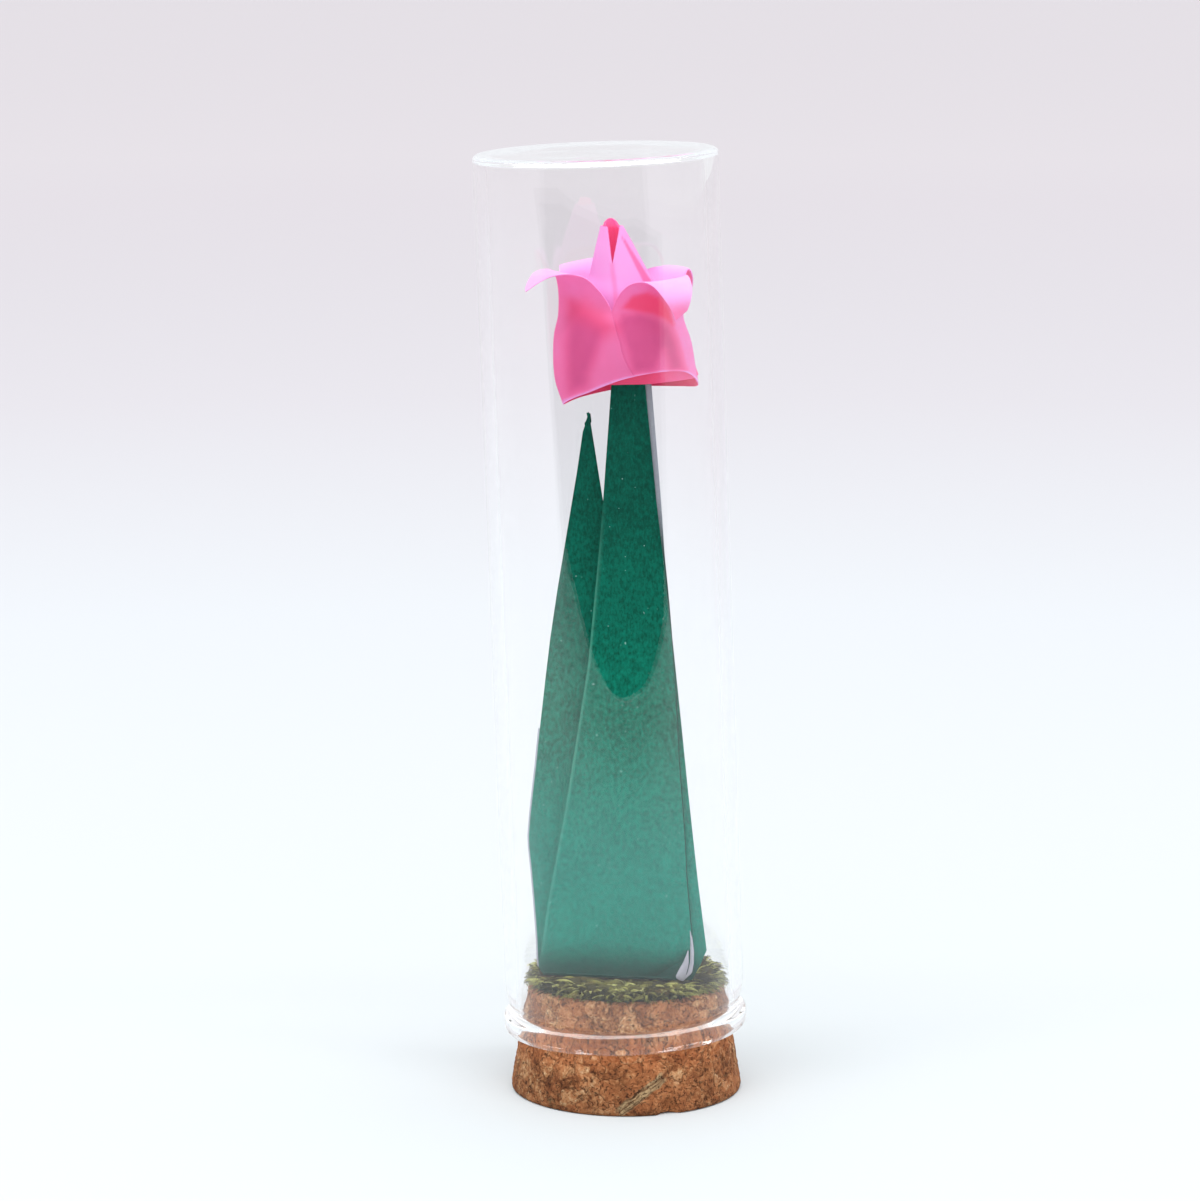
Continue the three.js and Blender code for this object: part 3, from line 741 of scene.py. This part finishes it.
def petalSheet(petal, finishes):
    # body and petal in one sheet, its columns in the sense that turns its face outwards
    columns = blossom['columns']
    bodyRows = blossom['bodyRows']
    petalRows = blossom['petalRows']
    isFront = petal['from'] > 180
    forward = petal['to'] > petal['from']
    rows = []
    for r in range(bodyRows):
        share = r / bodyRows
        seam = seamAngle(share) if isFront else seamAngle(share) - 180 + 16 * share
        proud = 0.1 if petal['name'] in ('frontLeft', 'backRight') else -0.08
        row = []
        for c in range(columns + 1):
            u = c / columns
            hold = proud * (1 - smoothStep(0, 0.5, u)) * smoothStep(1, 0.8, share)
            start = mix(petal['from'], seam, smoothStep(1, 0.85, share))
            if proud < 0:
                start += (-1 if forward else 1) * blossom['overlap'] * smoothStep(1, 0.7, share) * (1 - u)
            row.append(onBody(mix(start, petal['to'], u), share, -hold))
        rows.append(row)
    for r in range(petalRows + 1):
        rows.append([petalSpot(petal, c / columns, r / petalRows) for c in range(columns + 1)])
    for turn in range(blossom['easeTurns']):
        kept = [row[:] for row in rows]
        for r in range(bodyRows - blossom['easeReach'], bodyRows + blossom['easeReach'] + 1):
            for c in range(columns + 1):
                rows[r][c] = kept[r][c] * 0.5 + (kept[r - 1][c] + kept[r + 1][c]) * 0.25
    if not forward:
        rows = [row[::-1] for row in rows]
    sheet = sheetThrough(petal['name'], rows)
    return thicken(sheet, blossom['thickness'], finishes)


spireLevels = [
    {'x': -0.7, 'width': 6.4, 'depth': 4.4, 'z': 95.0},
    {'x': -0.8, 'width': 5.6, 'depth': 4.1, 'z': 98.6},
    {'x': -0.9, 'width': 4.8, 'depth': 3.7, 'z': 100.6},
    {'x': -0.85, 'width': 3.8, 'depth': 3.0, 'z': 102.4},
    {'x': -1.35, 'width': 2.65, 'depth': 2.1, 'z': 105.5},
    {'x': -1.85, 'width': 1.4, 'depth': 1.2, 'z': 108.7},
]
slit = {'foot': 104.15, 'middle': -1.84, 'left': -2.42, 'right': -0.85, 'top': 108.75}
# where the facet beside the spire's right ridge is painted in shade
spireShadedStrip = [(-0.85, 107.6), (-0.3, 107.2), (3.6, 101.0), (2.6, 100.6)]
spireLining = {'low': 99.0, 'high': 109.6, 'from': -35, 'to': 215, 'inset': 0.22, 'cap': 0.5}


def spireRing(z, inset=0):
    x, width, depth = [along([(level[key], level['z']) for level in spireLevels], z)
                       for key in ('x', 'width', 'depth')]
    return x, width - inset, depth - inset


def diamond(deg, width, depth, sharpness=1.5):
    c = math.cos(math.radians(deg))
    s = math.sin(math.radians(deg))
    reach = (abs(c) ** sharpness + abs(s) ** sharpness) ** (-1 / sharpness)
    return width * c * reach, depth * s * reach


def spireShell(name, low, high, startAt, endAt, inset, finishes, cap=0):
    columns = blossom['spireColumns']
    rows = []
    for z in heightsFor(low, high, 0.45, [slit['foot']]):
        x, width, depth = spireRing(z, inset)
        row = []
        for c in range(columns + 1):
            deg = mix(startAt(z), endAt(z), c / columns)
            dx, dy = diamond(deg, width, depth)
            drop = cap * smoothStep(107.6, 109.4, z) * (dx / width) ** 2
            row.append((x + dx, blossom['centreY'] + dy, z - drop))
        rows.append(row)
    return thicken(sheetThrough(name, rows), blossom['thickness'], finishes)


def slitAngle(z, side):
    # where the front flap's edge stands at a height, as degrees round the spire
    x, width, depth = spireRing(z)
    opening = max(0, (z - slit['foot']) / (slit['top'] - slit['foot']))
    edge = mix(slit['middle'], slit[side], opening)
    best = min((abs(x + diamond(deg / 2, width, depth)[0] - edge), deg / 2) for deg in range(380, 700))
    return best[1]


def spireTone(place):
    # painted shade: a deeper strip on the facet beside the right ridge, which turns away from the light, and
    # a faint shaded crease down the middle; also a warmer foot
    if place.y > blossom['centreY']:
        return 0.1
    strip = smoothStep(-0.1, 0.15, edgeDistance(place.x, place.z, spireShadedStrip))
    creaseX = mix(-1.2, slit['middle'], (place.z - 99) / 5)
    crease = smoothStep(0.5, 0.1, abs(place.x - creaseX)) if place.z < 104.2 else 0
    return 0.3 * strip + 0.14 * crease + 0.1 * smoothStep(102, 99, place.z)


def edgeDistance(x, z, outline):
    # how far inside an outline a spot lies, negative outside
    inside = False
    nearest = 1e9
    for (x0, z0), (x1, z1) in zip(outline, outline[1:] + outline[:1]):
        if (z0 > z) != (z1 > z) and x < x0 + (x1 - x0) * (z - z0) / (z1 - z0):
            inside = not inside
        length = (x1 - x0) ** 2 + (z1 - z0) ** 2
        share = min(max(((x - x0) * (x1 - x0) + (z - z0) * (z1 - z0)) / length, 0), 1)
        gap = math.hypot(x - x0 - share * (x1 - x0), z - z0 - share * (z1 - z0))
        nearest = min(nearest, gap)
    return nearest if inside else -nearest


# where inner layers of the folded sheet show through as deeper pink
layers = [
    {'soft': 1.1, 'depth': 0.46, 'outline': [
        (-6.68, 99.4), (-2.52, 96.85), (-3.21, 94.93), (-3.91, 92.83), (-4.6, 91.08), (-4.95, 89.15),
        (-7.04, 88.28), (-7.39, 90.73), (-7.47, 94.23), (-7.21, 96.85)]},
    {'soft': 0.8, 'depth': 0.42, 'outline': [
        (-1.3, 97.0), (-0.6, 98.4), (1.5, 98.5), (3.4, 97.8), (5.0, 96.6), (5.9, 94.9), (7.0, 91.2),
        (5.2, 91.2), (4.3, 93.9), (3.3, 91.2), (0.7, 91.2), (-0.1, 94.2)]},
]
# where the body is a single layer at its right side
paleSide = [(5.2, 98.6), (7.8, 98.4), (9.5, 89), (7.2, 90.3)]
# where light comes through a single layer and reddens it
blushes = [
    {'soft': 0.45, 'depth': 0.95, 'outline': [
        (-0.5, 99.2), (0.6, 100.6), (2.4, 101.0), (4.0, 100.2), (5.1, 98.6), (5.6, 96.8), (4.4, 97.7),
        (3.0, 98.4), (1.2, 98.8)]},
    {'soft': 1.7, 'depth': 0.5, 'outline': [
        (-7.0, 99.7), (-5.2, 99.9), (-3.0, 98.6), (-1.4, 96.6), (-2.4, 96.0), (-4.6, 97.4), (-6.9, 98.0)]},
]


def frontSpot(place):
    # the back is guessed to match the front, turned left to right
    return (-0.4 - place.x if place.y > blossom['centreY'] else place.x), place.z


def rimHighlight(place):
    # painted highlight: the sheet's folded rim at the mouth catches the light and is a little lighter
    mouth = bodyLevels[0]
    deg = math.degrees(math.acos(min(max((place.x - mouth['x']) / mouth['width'], -1), 1)))
    if place.y < blossom['centreY']:
        deg = 360 - deg
    return smoothStep(0.3, 0.1, place.z - heightAround(mouth['heights'], deg))


def seenThrough(place):
    x, z = frontSpot(place)
    value = 0.5
    for layer in layers:
        soft = layer['soft']
        value += layer['depth'] * smoothStep(-soft, soft, edgeDistance(x, z, layer['outline']))
    value -= 0.12 * smoothStep(-0.8, 0.6, edgeDistance(x, z, paleSide))
    return value - 0.35 * rimHighlight(place)


def redGlow(place):
    x, z = frontSpot(place)
    return max(blush['depth'] * smoothStep(-blush['soft'], blush['soft'] * 0.6,
                                           edgeDistance(x, z, blush['outline'])) for blush in blushes)


def insideGlow(place):
    # deep inside the body and low in the curls, light only comes through the paper
    return smoothStep(98.5, 95.5, place.z)


def pinkFinish(name, toneName, glowName, through=0.25, paintedGlow=0.0):
    f = Finish(name)
    place = f.spot()
    fibre = f.noise(place, 2.6, 5, 0.7)
    cloud = f.noise(place, 0.5, 3)
    tone = f.painted(toneName) + (cloud - 0.5) * 0.12 + (fibre - 0.5) * 0.1
    colour = f.mixed(f.painted(glowName), f.ramp(tone, blossom['tones']), tint(*blossom['glow']))
    # painted glow: emission in the paper's own colour, as strong as paintedGlow, stands in for light coming
    # through the paper
    paper = f.add('ShaderNodeBsdfPrincipled', sockets={
        'Base Color': colour, 'Roughness': 0.6 + fibre * 0.2, 'Specular IOR Level': 0.1,
        'Emission Color': colour, 'Emission Strength': paintedGlow,
        'Normal': f.bump(fibre + cloud, 0.02, 0.5)})
    lit = f.add('ShaderNodeBsdfTranslucent', sockets={'Color': colour})
    return f.cover(f.add('ShaderNodeMixShader', sockets={0: through, 1: paper, 2: lit}))


# the layer inside, which hangs a little lower than the front and before the stem
skirt = {
    'from': 184,
    'to': 356,
    'columns': 48,
    'rows': 10,
    'heldAt': 0.4,          # how far up the body it leaves the front
    'inset': 0.45,
    'forward': 0.52,
    'rim': [(-7.9, 87.3), (-4.8, 88.5), (-2.95, 89.35), (-0.5, 89.45), (2.5, 89.5), (6.05, 89.8),
            (8.4, 90.0), (8.75, 90.35)],
}


def skirtGlow(place):
    # reddest before the stem and at the left
    return 0.3 + 0.55 * smoothStep(6.5, 1.5, abs(place.x - 0.2)) + 0.25 * smoothStep(-2, -5, place.x)


def skirtSheet(finishes):
    rimHeights = [(z, x) for x, z in skirt['rim']]
    rows = []
    for r in range(skirt['rows'] + 1):
        row = []
        for c in range(skirt['columns'] + 1):
            deg = mix(skirt['from'], skirt['to'], c / skirt['columns'])
            held = onBody(deg, skirt['heldAt'], skirt['inset'])
            x = onBody(deg, 0).x
            rim = Vector((x, mix(blossom['centreY'], held.y, skirt['forward']), along(rimHeights, x)))
            row.append(rim.lerp(held, r / skirt['rows']))
        rows.append(row)
    sheet = thicken(sheetThrough('skirt', rows), blossom['thickness'], finishes)
    paint(sheet, 'tone', lambda place: 0.4)
    paint(sheet, 'glow', skirtGlow)
    paint(sheet, 'innerTone', lambda place: 0.5)
    paint(sheet, 'innerGlow', lambda place: 0.6)
    return sheet


def spireSheets(finishes, lining):
    low = spireLevels[0]['z']
    high = spireLevels[-1]['z']
    slitEdges = {z: (slitAngle(z, 'right') - 360, slitAngle(z, 'left'))
                 for z in heightsFor(low, high, 0.45, [slit['foot']])}
    outside = spireShell('spire', low, high, lambda z: slitEdges[z][0], lambda z: slitEdges[z][1],
                         0, finishes)
    inner = spireLining
    inside = spireShell('spireLining', inner['low'], inner['high'], lambda z: inner['from'],
                        lambda z: inner['to'], inner['inset'], (lining,) * 3, inner['cap'])
    for sheet, level in ((outside, 0.2), (inside, 0.4)):
        paint(sheet, 'tone', lambda place: level + spireTone(place))
        paint(sheet, 'glow', lambda place: 0.0)
        paint(sheet, 'innerTone', lambda place: 0.3)
        paint(sheet, 'innerGlow', lambda place: 0.45)
    return [outside, inside]


def makeBlossom():
    outer = pinkFinish('pinkPaper', 'tone', 'glow')
    inner = pinkFinish('pinkPaperReverse', 'innerTone', 'innerGlow')
    edge = pinkFinish('pinkPaperEdge', 'edgeTone', 'edgeGlow')
    # the lining and the skirt carry a little painted glow besides their translucency
    lining = pinkFinish('pinkPaperLining', 'innerTone', 'innerGlow', 0.6, 0.3)
    skirtPaper = pinkFinish('pinkPaperSkirt', 'tone', 'glow', 0.5, 0.12)
    finishes = (outer, inner, edge)
    sheets = []
    for petal in petals:
        sheet = petalSheet(petal, finishes)
        paint(sheet, 'tone', seenThrough)
        paint(sheet, 'glow', redGlow)
        # painted shade: the reverse is a deeper pink lower down inside the body
        paint(sheet, 'innerTone', lambda place: mix(0.08, 0.5, smoothStep(101.5, 98.5, place.z)))
        paint(sheet, 'innerGlow', insideGlow)
        sheets.append(sheet)
    sheets.append(skirtSheet((skirtPaper,) * 3))
    sheets += spireSheets(finishes, lining)
    for sheet in sheets:
        paint(sheet, 'edgeTone', lambda place: 0.22)
        paint(sheet, 'edgeGlow', lambda place: 0.15)
    whole = joinPieces('blossom', sheets)
    smoothBy(whole, 40)
    return whole


blossomPiece = makeBlossom()
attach(blossomPiece, 'root')
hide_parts('paper_blossom')
print('blossom done')


# the moss

moss = {
    'radius': 11.75,
    'rings': 26,
    'steps': 120,
    'under': 0.02,          # the bed starts this far above the cork's top
    'seat': 0.8,            # how high it is where the paper stands
    'crown': 1.5,           # and where it is free
    'fronds': 2700,
    'leafPairs': 8,
    'reach': 12.75,
    'seed': 11,
    'tones': [(0.0, (42, 36, 14)), (0.3, (96, 92, 44)), (0.6, (156, 154, 80)), (1.0, (240, 240, 160))],
}
# the lines on which the paper stands, seen from above
paperFeet = [((-10.6, -2.4), (9.2, -6.0)), ((-10.6, -1.6), (7.9, -4.9)), ((9.2, -6.0), (-6.4, 7.0))]


def paperGapAt(x, y):
    # how far a spot is from the nearest line on which the paper stands
    nearest = 99
    for (x0, y0), (x1, y1) in paperFeet:
        length = (x1 - x0) ** 2 + (y1 - y0) ** 2
        share = min(max(((x - x0) * (x1 - x0) + (y - y0) * (y1 - y0)) / length, 0), 1)
        nearest = min(nearest, math.hypot(x - x0 - share * (x1 - x0), y - y0 - share * (y1 - y0)))
    return nearest


def makeFrond():
    # one lance-shaped leaf, repeated in pairs along a bowed stalk
    clearSelection()
    bpy.ops.mesh.primitive_circle_add(vertices=4, radius=0.5 * mm, fill_type='NGON', location=(0, 0, 0))
    leaf = nameActive('mossLeaf')
    leaf.data.vertices.foreach_set('co', [c * mm for spot in (
        (0, 0, 0), (0.22, 0.12, 0.06), (0.5, 0, 0.0), (0.22, -0.12, 0.06)) for c in spot])
    frond = bmesh.new()
    for i in range(moss['leafPairs']):
        share = i / (moss['leafPairs'] - 1)
        size = (1.0 - 0.5 * share) * (0.6 + 0.4 * min(1, share * 4))
        for side in (-1, 1):
            part = leaf.data.copy()
            place = Vector((share * 1.55, 0, 0.5 * share - 0.65 * share ** 2)) * mm
            turn = Matrix.Rotation(side * math.radians(52 - 22 * share), 4, 'Z')
            roll = Matrix.Rotation(side * 0.5, 4, 'X')
            part.transform(Matrix.Translation(place) @ turn @ roll @ Matrix.Scale(size, 4))
            frond.from_mesh(part)
            bpy.data.meshes.remove(part)
    mesh = bpy.data.meshes.new('mossFrond')
    frond.to_mesh(mesh)
    frond.free()
    bpy.data.objects.remove(leaf)
    return mesh


def makeMossBed():
    radius = moss['radius']
    top = cork['height']
    profile = [(0, top + moss['under']), (radius, top + moss['under']), (radius, top + 0.4)]
    profile += [(radius * (1 - i / moss['rings']), top + moss['seat']) for i in range(moss['rings'] + 1)]
    bed = turnOnLathe('mossBed', profile, moss['steps'])
    for corner in bed.data.vertices:
        x, y, z = corner.co / mm
        if z > top + 0.5:
            lumps = noise.noise(Vector((x * 0.6, y * 0.6, 3))) + 0.5 * noise.noise(Vector((x * 2, y * 2, 7)))
            free = moss['crown'] - 0.2 + 0.55 * lumps
            level = mix(moss['seat'], free, smoothStep(0.9, 2.2, paperGapAt(x, y)))
            rim = smoothStep(radius + 0.1, radius - 1.2, math.hypot(x, y))
            corner.co.z = (top + level * (0.55 + 0.45 * rim)) * mm
        elif z > top + 0.1:
            wave = noise.noise(Vector((x * 0.8, y * 0.8, 1))) * 0.5
            corner.co.x *= 1 + wave * 0.03
            corner.co.y *= 1 + wave * 0.03
    # painted shade: the bed under the fronds is dark, as the shade among them
    paint(bed, 'shade', lambda place: 0.15)
    return bed


def makeMossFronds():
    dice = random.Random(moss['seed'])
    top = cork['height']
    frond = makeFrond()
    heap = bmesh.new()
    shades = []
    made = 0
    while made < moss['fronds']:
        atRim = made % 4 == 0
        angle = 2 * math.pi * dice.random()
        radius = moss['radius'] * math.sqrt(dice.random())
        if atRim:
            radius = moss['radius'] - 0.7 * dice.random()
        x = radius * math.cos(angle)
        y = radius * math.sin(angle)
        heading = angle + 2.4 * (dice.random() - 0.5) if radius > 9.5 else 2 * math.pi * dice.random()
        size = 0.5 + 0.6 * dice.random()
        tip = (x + 1.5 * size * math.cos(heading), y + 1.5 * size * math.sin(heading))
        gap = min(paperGapAt(x, y), paperGapAt(*tip))
        steep = dice.random()
        if gap < 0.35 and steep > 0.1:
            continue
        if math.hypot(*tip) > moss['reach']:
            continue
        lift = (-0.12 + 0.55 * steep * steep) if gap > 1.0 else -0.12
        free = moss['seat'] if gap < 1.6 else moss['crown'] - 0.35
        low = top + free * (0.6 + 0.5 * dice.random())
        if gap < 1.0:
            low = min(low, top + 0.9)
        if atRim:
            low = top + 0.1 + 0.7 * dice.random()
            lift = -0.25 + 0.3 * steep
        copy = frond.copy()
        turn = Matrix.Rotation(heading, 4, 'Z') @ Matrix.Rotation(-lift, 4, 'Y')
        roll = Matrix.Rotation(2.2 * (dice.random() - 0.5), 4, 'X')
        copy.transform(Matrix.Translation(Vector((x, y, low)) * mm) @ turn @ roll @ Matrix.Scale(size, 4))
        heap.from_mesh(copy)
        shades += [dice.random()] * len(copy.vertices)
        bpy.data.meshes.remove(copy)
        made += 1
    mesh = bpy.data.meshes.new('mossFronds')
    heap.to_mesh(mesh)
    heap.free()
    bpy.data.meshes.remove(frond)
    fronds = bpy.data.objects.new('mossFronds', mesh)
    bpy.context.scene.collection.objects.link(fronds)
    layer = mesh.attributes.new('shade', 'FLOAT', 'POINT')
    layer.data.foreach_set('value', shades)
    return fronds


def mossFinish():
    f = Finish('driedMoss')
    place = f.spot()
    patch = f.noise(place, 0.3, 3)
    fine = f.noise(place, 3.0, 3, 0.7)
    shade = f.painted('shade')
    # painted shade: the moss is darker lower down and lighter at its top
    level = f.between(f.axis(place, 'Z'), 14.4, 16.4)
    share = shade * 0.85 + f.between(patch, 0.4, 0.62) * 0.3 + fine * 0.2 + level * 0.4 - 0.38
    colour = f.ramp(share, moss['tones'])
    colour = f.mixed(f.between(f.noise(place, 0.5, 2), 0.55, 0.75) * 0.5, colour, tint(132, 104, 58))
    shader = f.add('ShaderNodeBsdfPrincipled', sockets={
        'Base Color': colour, 'Roughness': 0.75 + fine * 0.2, 'Specular IOR Level': 0.2,
        'Normal': f.bump(fine, 0.1, 0.5)})
    lit = f.add('ShaderNodeBsdfTranslucent', sockets={'Color': colour})
    return f.cover(f.add('ShaderNodeMixShader', sockets={0: 0.25, 1: shader, 2: lit}))


mossPad = joinPieces('mossPad', [makeMossBed(), makeMossFronds()])
mossPad.data.materials.append(mossFinish())
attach(mossPad, 'root')
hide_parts('moss_pad')
print('moss done')


# the glass vial, turned mouth down

vial = {
    'radius': 15,
    'length': 110,
    'wall': 1.65,
    'endWall': 0.65,
    'endHollow': 0.15,
    'shoulder': 0.6,
    'bead': 0.2,
    'beadHeight': 3.3,
    'lipRound': 0.8,
    'lean': -2,
    'mouth': (-0.06, 0, 7.8),
    'steps': 160,
    'wallRings': 12,
    'turnsOfLight': 6.5,    # after so many turns inside the glass a ray goes straight on
}


def vialProfile():
    # half a section, mouth at height 0: up the bore, round the lip and back over the closed end
    radius = vial['radius']
    bore = radius - vial['wall']
    length = vial['length']
    bead = radius + vial['bead']
    ceiling = length - vial['endWall']
    hollow = vial['endHollow']
    outer = vial['shoulder']
    inner = outer * 0.6
    lip = vial['lipRound']
    neck = vial['beadHeight']
    rise = vial['wallRings']
    dish = [(0, 1.0), (3, 0.95), (6, 0.72), (9, 0.3)]     # how deep the end is sunk at a radius
    profile = [(r, ceiling - hollow * deep) for r, deep in dish]
    profile += roundCorner(bore - inner, ceiling - inner, inner, 90, 0, 8)
    profile += [(bore, mix(ceiling - inner, neck + 1.6, i / rise)) for i in range(1, rise + 1)]
    profile += [(bore - 0.01, neck + 0.9), (bore - 0.05, neck + 0.6), (bore - 0.1, neck + 0.35),
                (bore - 0.13, neck), (bore - 0.14, neck - 0.6)]
    profile += roundCorner(bore - 0.14 + lip, lip, lip, 180, 270, 7)
    profile += roundCorner(bead - lip, lip, lip, 270, 360, 7)
    profile += [(bead + 0.03, neck * 0.4), (bead + 0.03, neck - 1.45), (bead + 0.01, neck - 1.25),
                (bead - 0.05, neck - 1.1), (bead - 0.18, neck - 0.95), (bead - 0.31, neck - 0.8),
                (bead - 0.44, neck - 0.65), (bead - 0.57, neck - 0.5), (bead - 0.65, neck - 0.33),
                (bead - 0.68, neck - 0.04), (bead - 0.65, neck + 0.3), (bead - 0.52, neck + 0.9),
                (bead - 0.37, neck + 1.5), (radius - 0.05, neck + 2.2)]
    profile += [(radius, mix(neck + 3.0, length - outer, i / rise)) for i in range(rise)]
    profile += roundCorner(radius - outer, length - outer, outer, 0, 90, 10)
    profile += [(r, length - hollow * deep) for r, deep in dish[::-1]]
    return profile


def makeVial():
    tube = turnOnLathe('glassVial', vialProfile(), vial['steps'])
    tube.rotation_euler.y = math.radians(vial['lean'])
    tube.location = Vector(vial['mouth']) * mm
    makeActive(tube)
    bpy.ops.object.transform_apply(location=True, rotation=True, scale=True)
    smoothBy(tube, 50)
    return tube


def glassFinish():
    f = Finish('clearGlass')
    place = f.spot((1, 1, 0.35))
    wave = f.noise(place, 0.06, 2)
    glass = f.add('ShaderNodeBsdfPrincipled', sockets={
        'Base Color': (1, 1, 1, 1), 'Roughness': 0.0, 'IOR': 1.5, 'Transmission Weight': 1.0,
        'Normal': f.bump(wave, 0.06, 0.5)})
    clear = f.add('ShaderNodeBsdfTransparent')
    isDiffuse = f.add('ShaderNodeLightPath', out='Is Diffuse Ray')
    isShadow = f.add('ShaderNodeLightPath', out='Is Shadow Ray')
    caught = f.maths('GREATER_THAN', f.add('ShaderNodeLightPath', out='Ray Depth'), vial['turnsOfLight'])
    shader = glass
    for share in (caught, isDiffuse, isShadow):
        shader = f.add('ShaderNodeMixShader', sockets={0: share, 1: shader, 2: clear})
    return f.cover(shader)


glassVial = makeVial()
glassVial.data.materials.append(glassFinish())
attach(glassVial, 'root')
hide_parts('glass_vial')
print('glass vial done')


# the floor, the light and the camera

studio = {
    'floorSize': 6.0,       # metres, as all places here
    'worldStrength': 0.9,
    'overhead': 0.5,
    'lamps': [
        {'name': 'keyLamp', 'power': 2.2, 'size': (0.42, 0.12), 'place': (-0.02, -0.1, 0.9)},
        {'name': 'stripLamp', 'power': 4.2, 'size': (1.6, 0.11), 'place': (0, -0.35, 0.85)},
        # the two at the sides only show in the glass
        {'name': 'leftLamp', 'power': 4.2, 'size': (1.0, 0.16), 'place': (-0.76, 0.01, 0.85), 'turn': -44,
         'lightsRoom': False},
        {'name': 'rightLamp', 'power': 4.2, 'size': (1.0, 0.16), 'place': (0.76, 0.01, 0.85), 'turn': 44,
         'lightsRoom': False}],
    'lens': 138,
    'cameraPlace': (-0.0033, -0.5608, 0.1640),
    'cameraTilt': 79.7,
    'cardColours': ((0.02, 0.022, 0.022, 1), (0.035, 0.035, 0.035, 1)),
    'floorColours': [(0.0, (0.59, 0.63, 0.64, 1)), (0.24, (0.65, 0.68, 0.7, 1)),
                     (0.46, (0.67, 0.655, 0.68, 1)), (0.86, (0.715, 0.68, 0.705, 1)),
                     (1.0, (0.735, 0.7, 0.72, 1))],
    'floorReach': 1.4,      # where the last of these is
}
# outline of a dark card that lies in front and only shows in reflections
cardOutline = [(-0.255, -0.275), (-0.183, -0.281), (-0.103, -0.275), (0.0, -0.272), (0.095, -0.271),
               (0.144, -0.264), (0.207, -0.255), (0.266, -0.247), (0.33, -0.237), (1.4, -0.75),
               (1.2, -1.6), (-1.2, -1.6), (-1.4, -0.8)]
# and of a half clear one that fades out towards the vial
softOutline = [(-0.24, -0.12), (-0.24, -0.275), (0.3, -0.255), (0.3, -0.12)]


def floorFinish():
    f = Finish('paleFloor')
    place = f.add('ShaderNodeTexCoord', out='Object')
    far = f.add('ShaderNodeVectorMath', {'operation': 'LENGTH'}, {0: place}, out='Value')
    cloud = f.noise(place, 3, 2)
    share = far * (1 / studio['floorReach'])
    colour = f.add('ShaderNodeValToRGB', {'stops': studio['floorColours']}, {0: share})
    colour = f.mixed(cloud * 0.04, colour, (0.7, 0.7, 0.75, 1))
    shader = f.add('ShaderNodeBsdfPrincipled', sockets={
        'Base Color': colour, 'Roughness': 0.8, 'Specular IOR Level': 0.1})
    return f.cover(shader)


def addFloor():
    clearSelection()
    bpy.ops.mesh.primitive_plane_add(size=studio['floorSize'], location=(0, 0, 0))
    floor = nameActive('floor')
    floor.data.materials.append(floorFinish())


def addCard(name, outline, height, fade=None, depth=1.0):
    clearSelection()
    bpy.ops.mesh.primitive_circle_add(vertices=len(outline), fill_type='NGON', location=(0, 0, 0))
    card = nameActive(name)
    card.data.vertices.foreach_set('co', [c for x, y in outline for c in (x, y, height)])
    f = Finish(name)
    shade = f.noise(f.spot(), 0.01, 2)
    dark = f.add('ShaderNodeBsdfDiffuse', sockets={'Color': f.mixed(shade, *studio['cardColours'])})
    seen = f.maths('GREATER_THAN', f.add('ShaderNodeLightPath', out='Glossy Depth'), 0.5)
    if fade:
        place = f.add('ShaderNodeTexCoord', out='Object')
        seen = seen * f.between(f.axis(place, 'Y'), *fade) * depth
    card.data.materials.append(f.cover(f.add('ShaderNodeMixShader', sockets={
        0: seen, 1: f.add('ShaderNodeBsdfTransparent'), 2: dark})))
    card.visible_camera = False
    card.visible_diffuse = False
    card.visible_shadow = False


def addWorld():
    world = bpy.data.worlds.new('softRoom')
    bpy.context.scene.world = world
    f = Finish('softRoom', world)
    height = f.axis(f.add('ShaderNodeTexCoord', out='Generated'), 'Z')
    strength = f.between(height, 0.62, 0.95) * studio['overhead'] + studio['worldStrength']
    light = f.add('ShaderNodeBackground', sockets={'Color': (0.97, 0.97, 1.0, 1), 'Strength': strength})
    f.add('ShaderNodeOutputWorld', sockets={'Surface': light})


def addLamp(name, power, size, place, turn=0, lightsRoom=True):
    bpy.ops.object.light_add(type='AREA', location=place, rotation=(0, 0, math.radians(turn)))
    lamp = nameActive(name)
    lamp.data.energy = power
    lamp.data.shape = 'RECTANGLE'
    lamp.data.size, lamp.data.size_y = size
    lamp.visible_diffuse = lightsRoom


def addCamera():
    bpy.ops.object.camera_add(location=studio['cameraPlace'],
                              rotation=(math.radians(studio['cameraTilt']), 0, 0))
    camera = bpy.context.active_object
    camera.data.lens = studio['lens']
    camera.data.sensor_width = 36
    camera.data.sensor_fit = 'HORIZONTAL'
    camera.data.clip_start = 0.01
    bpy.context.scene.camera = camera


def makeStudio():
    addFloor()
    addCard('darkCard', cardOutline, 0.001)
    addCard('softCard', softOutline, 0.002, fade=(-0.13, -0.275), depth=0.42)
    addWorld()
    for choice in studio['lamps']:
        addLamp(**choice)
    addCamera()
    scene = bpy.context.scene
    scene.view_settings.view_transform = 'Standard'
    scene.cycles.max_bounces = 24
    scene.cycles.glossy_bounces = 16
    scene.cycles.transmission_bounces = 20
    scene.cycles.transparent_max_bounces = 24
    print('studio done')


makeStudio()
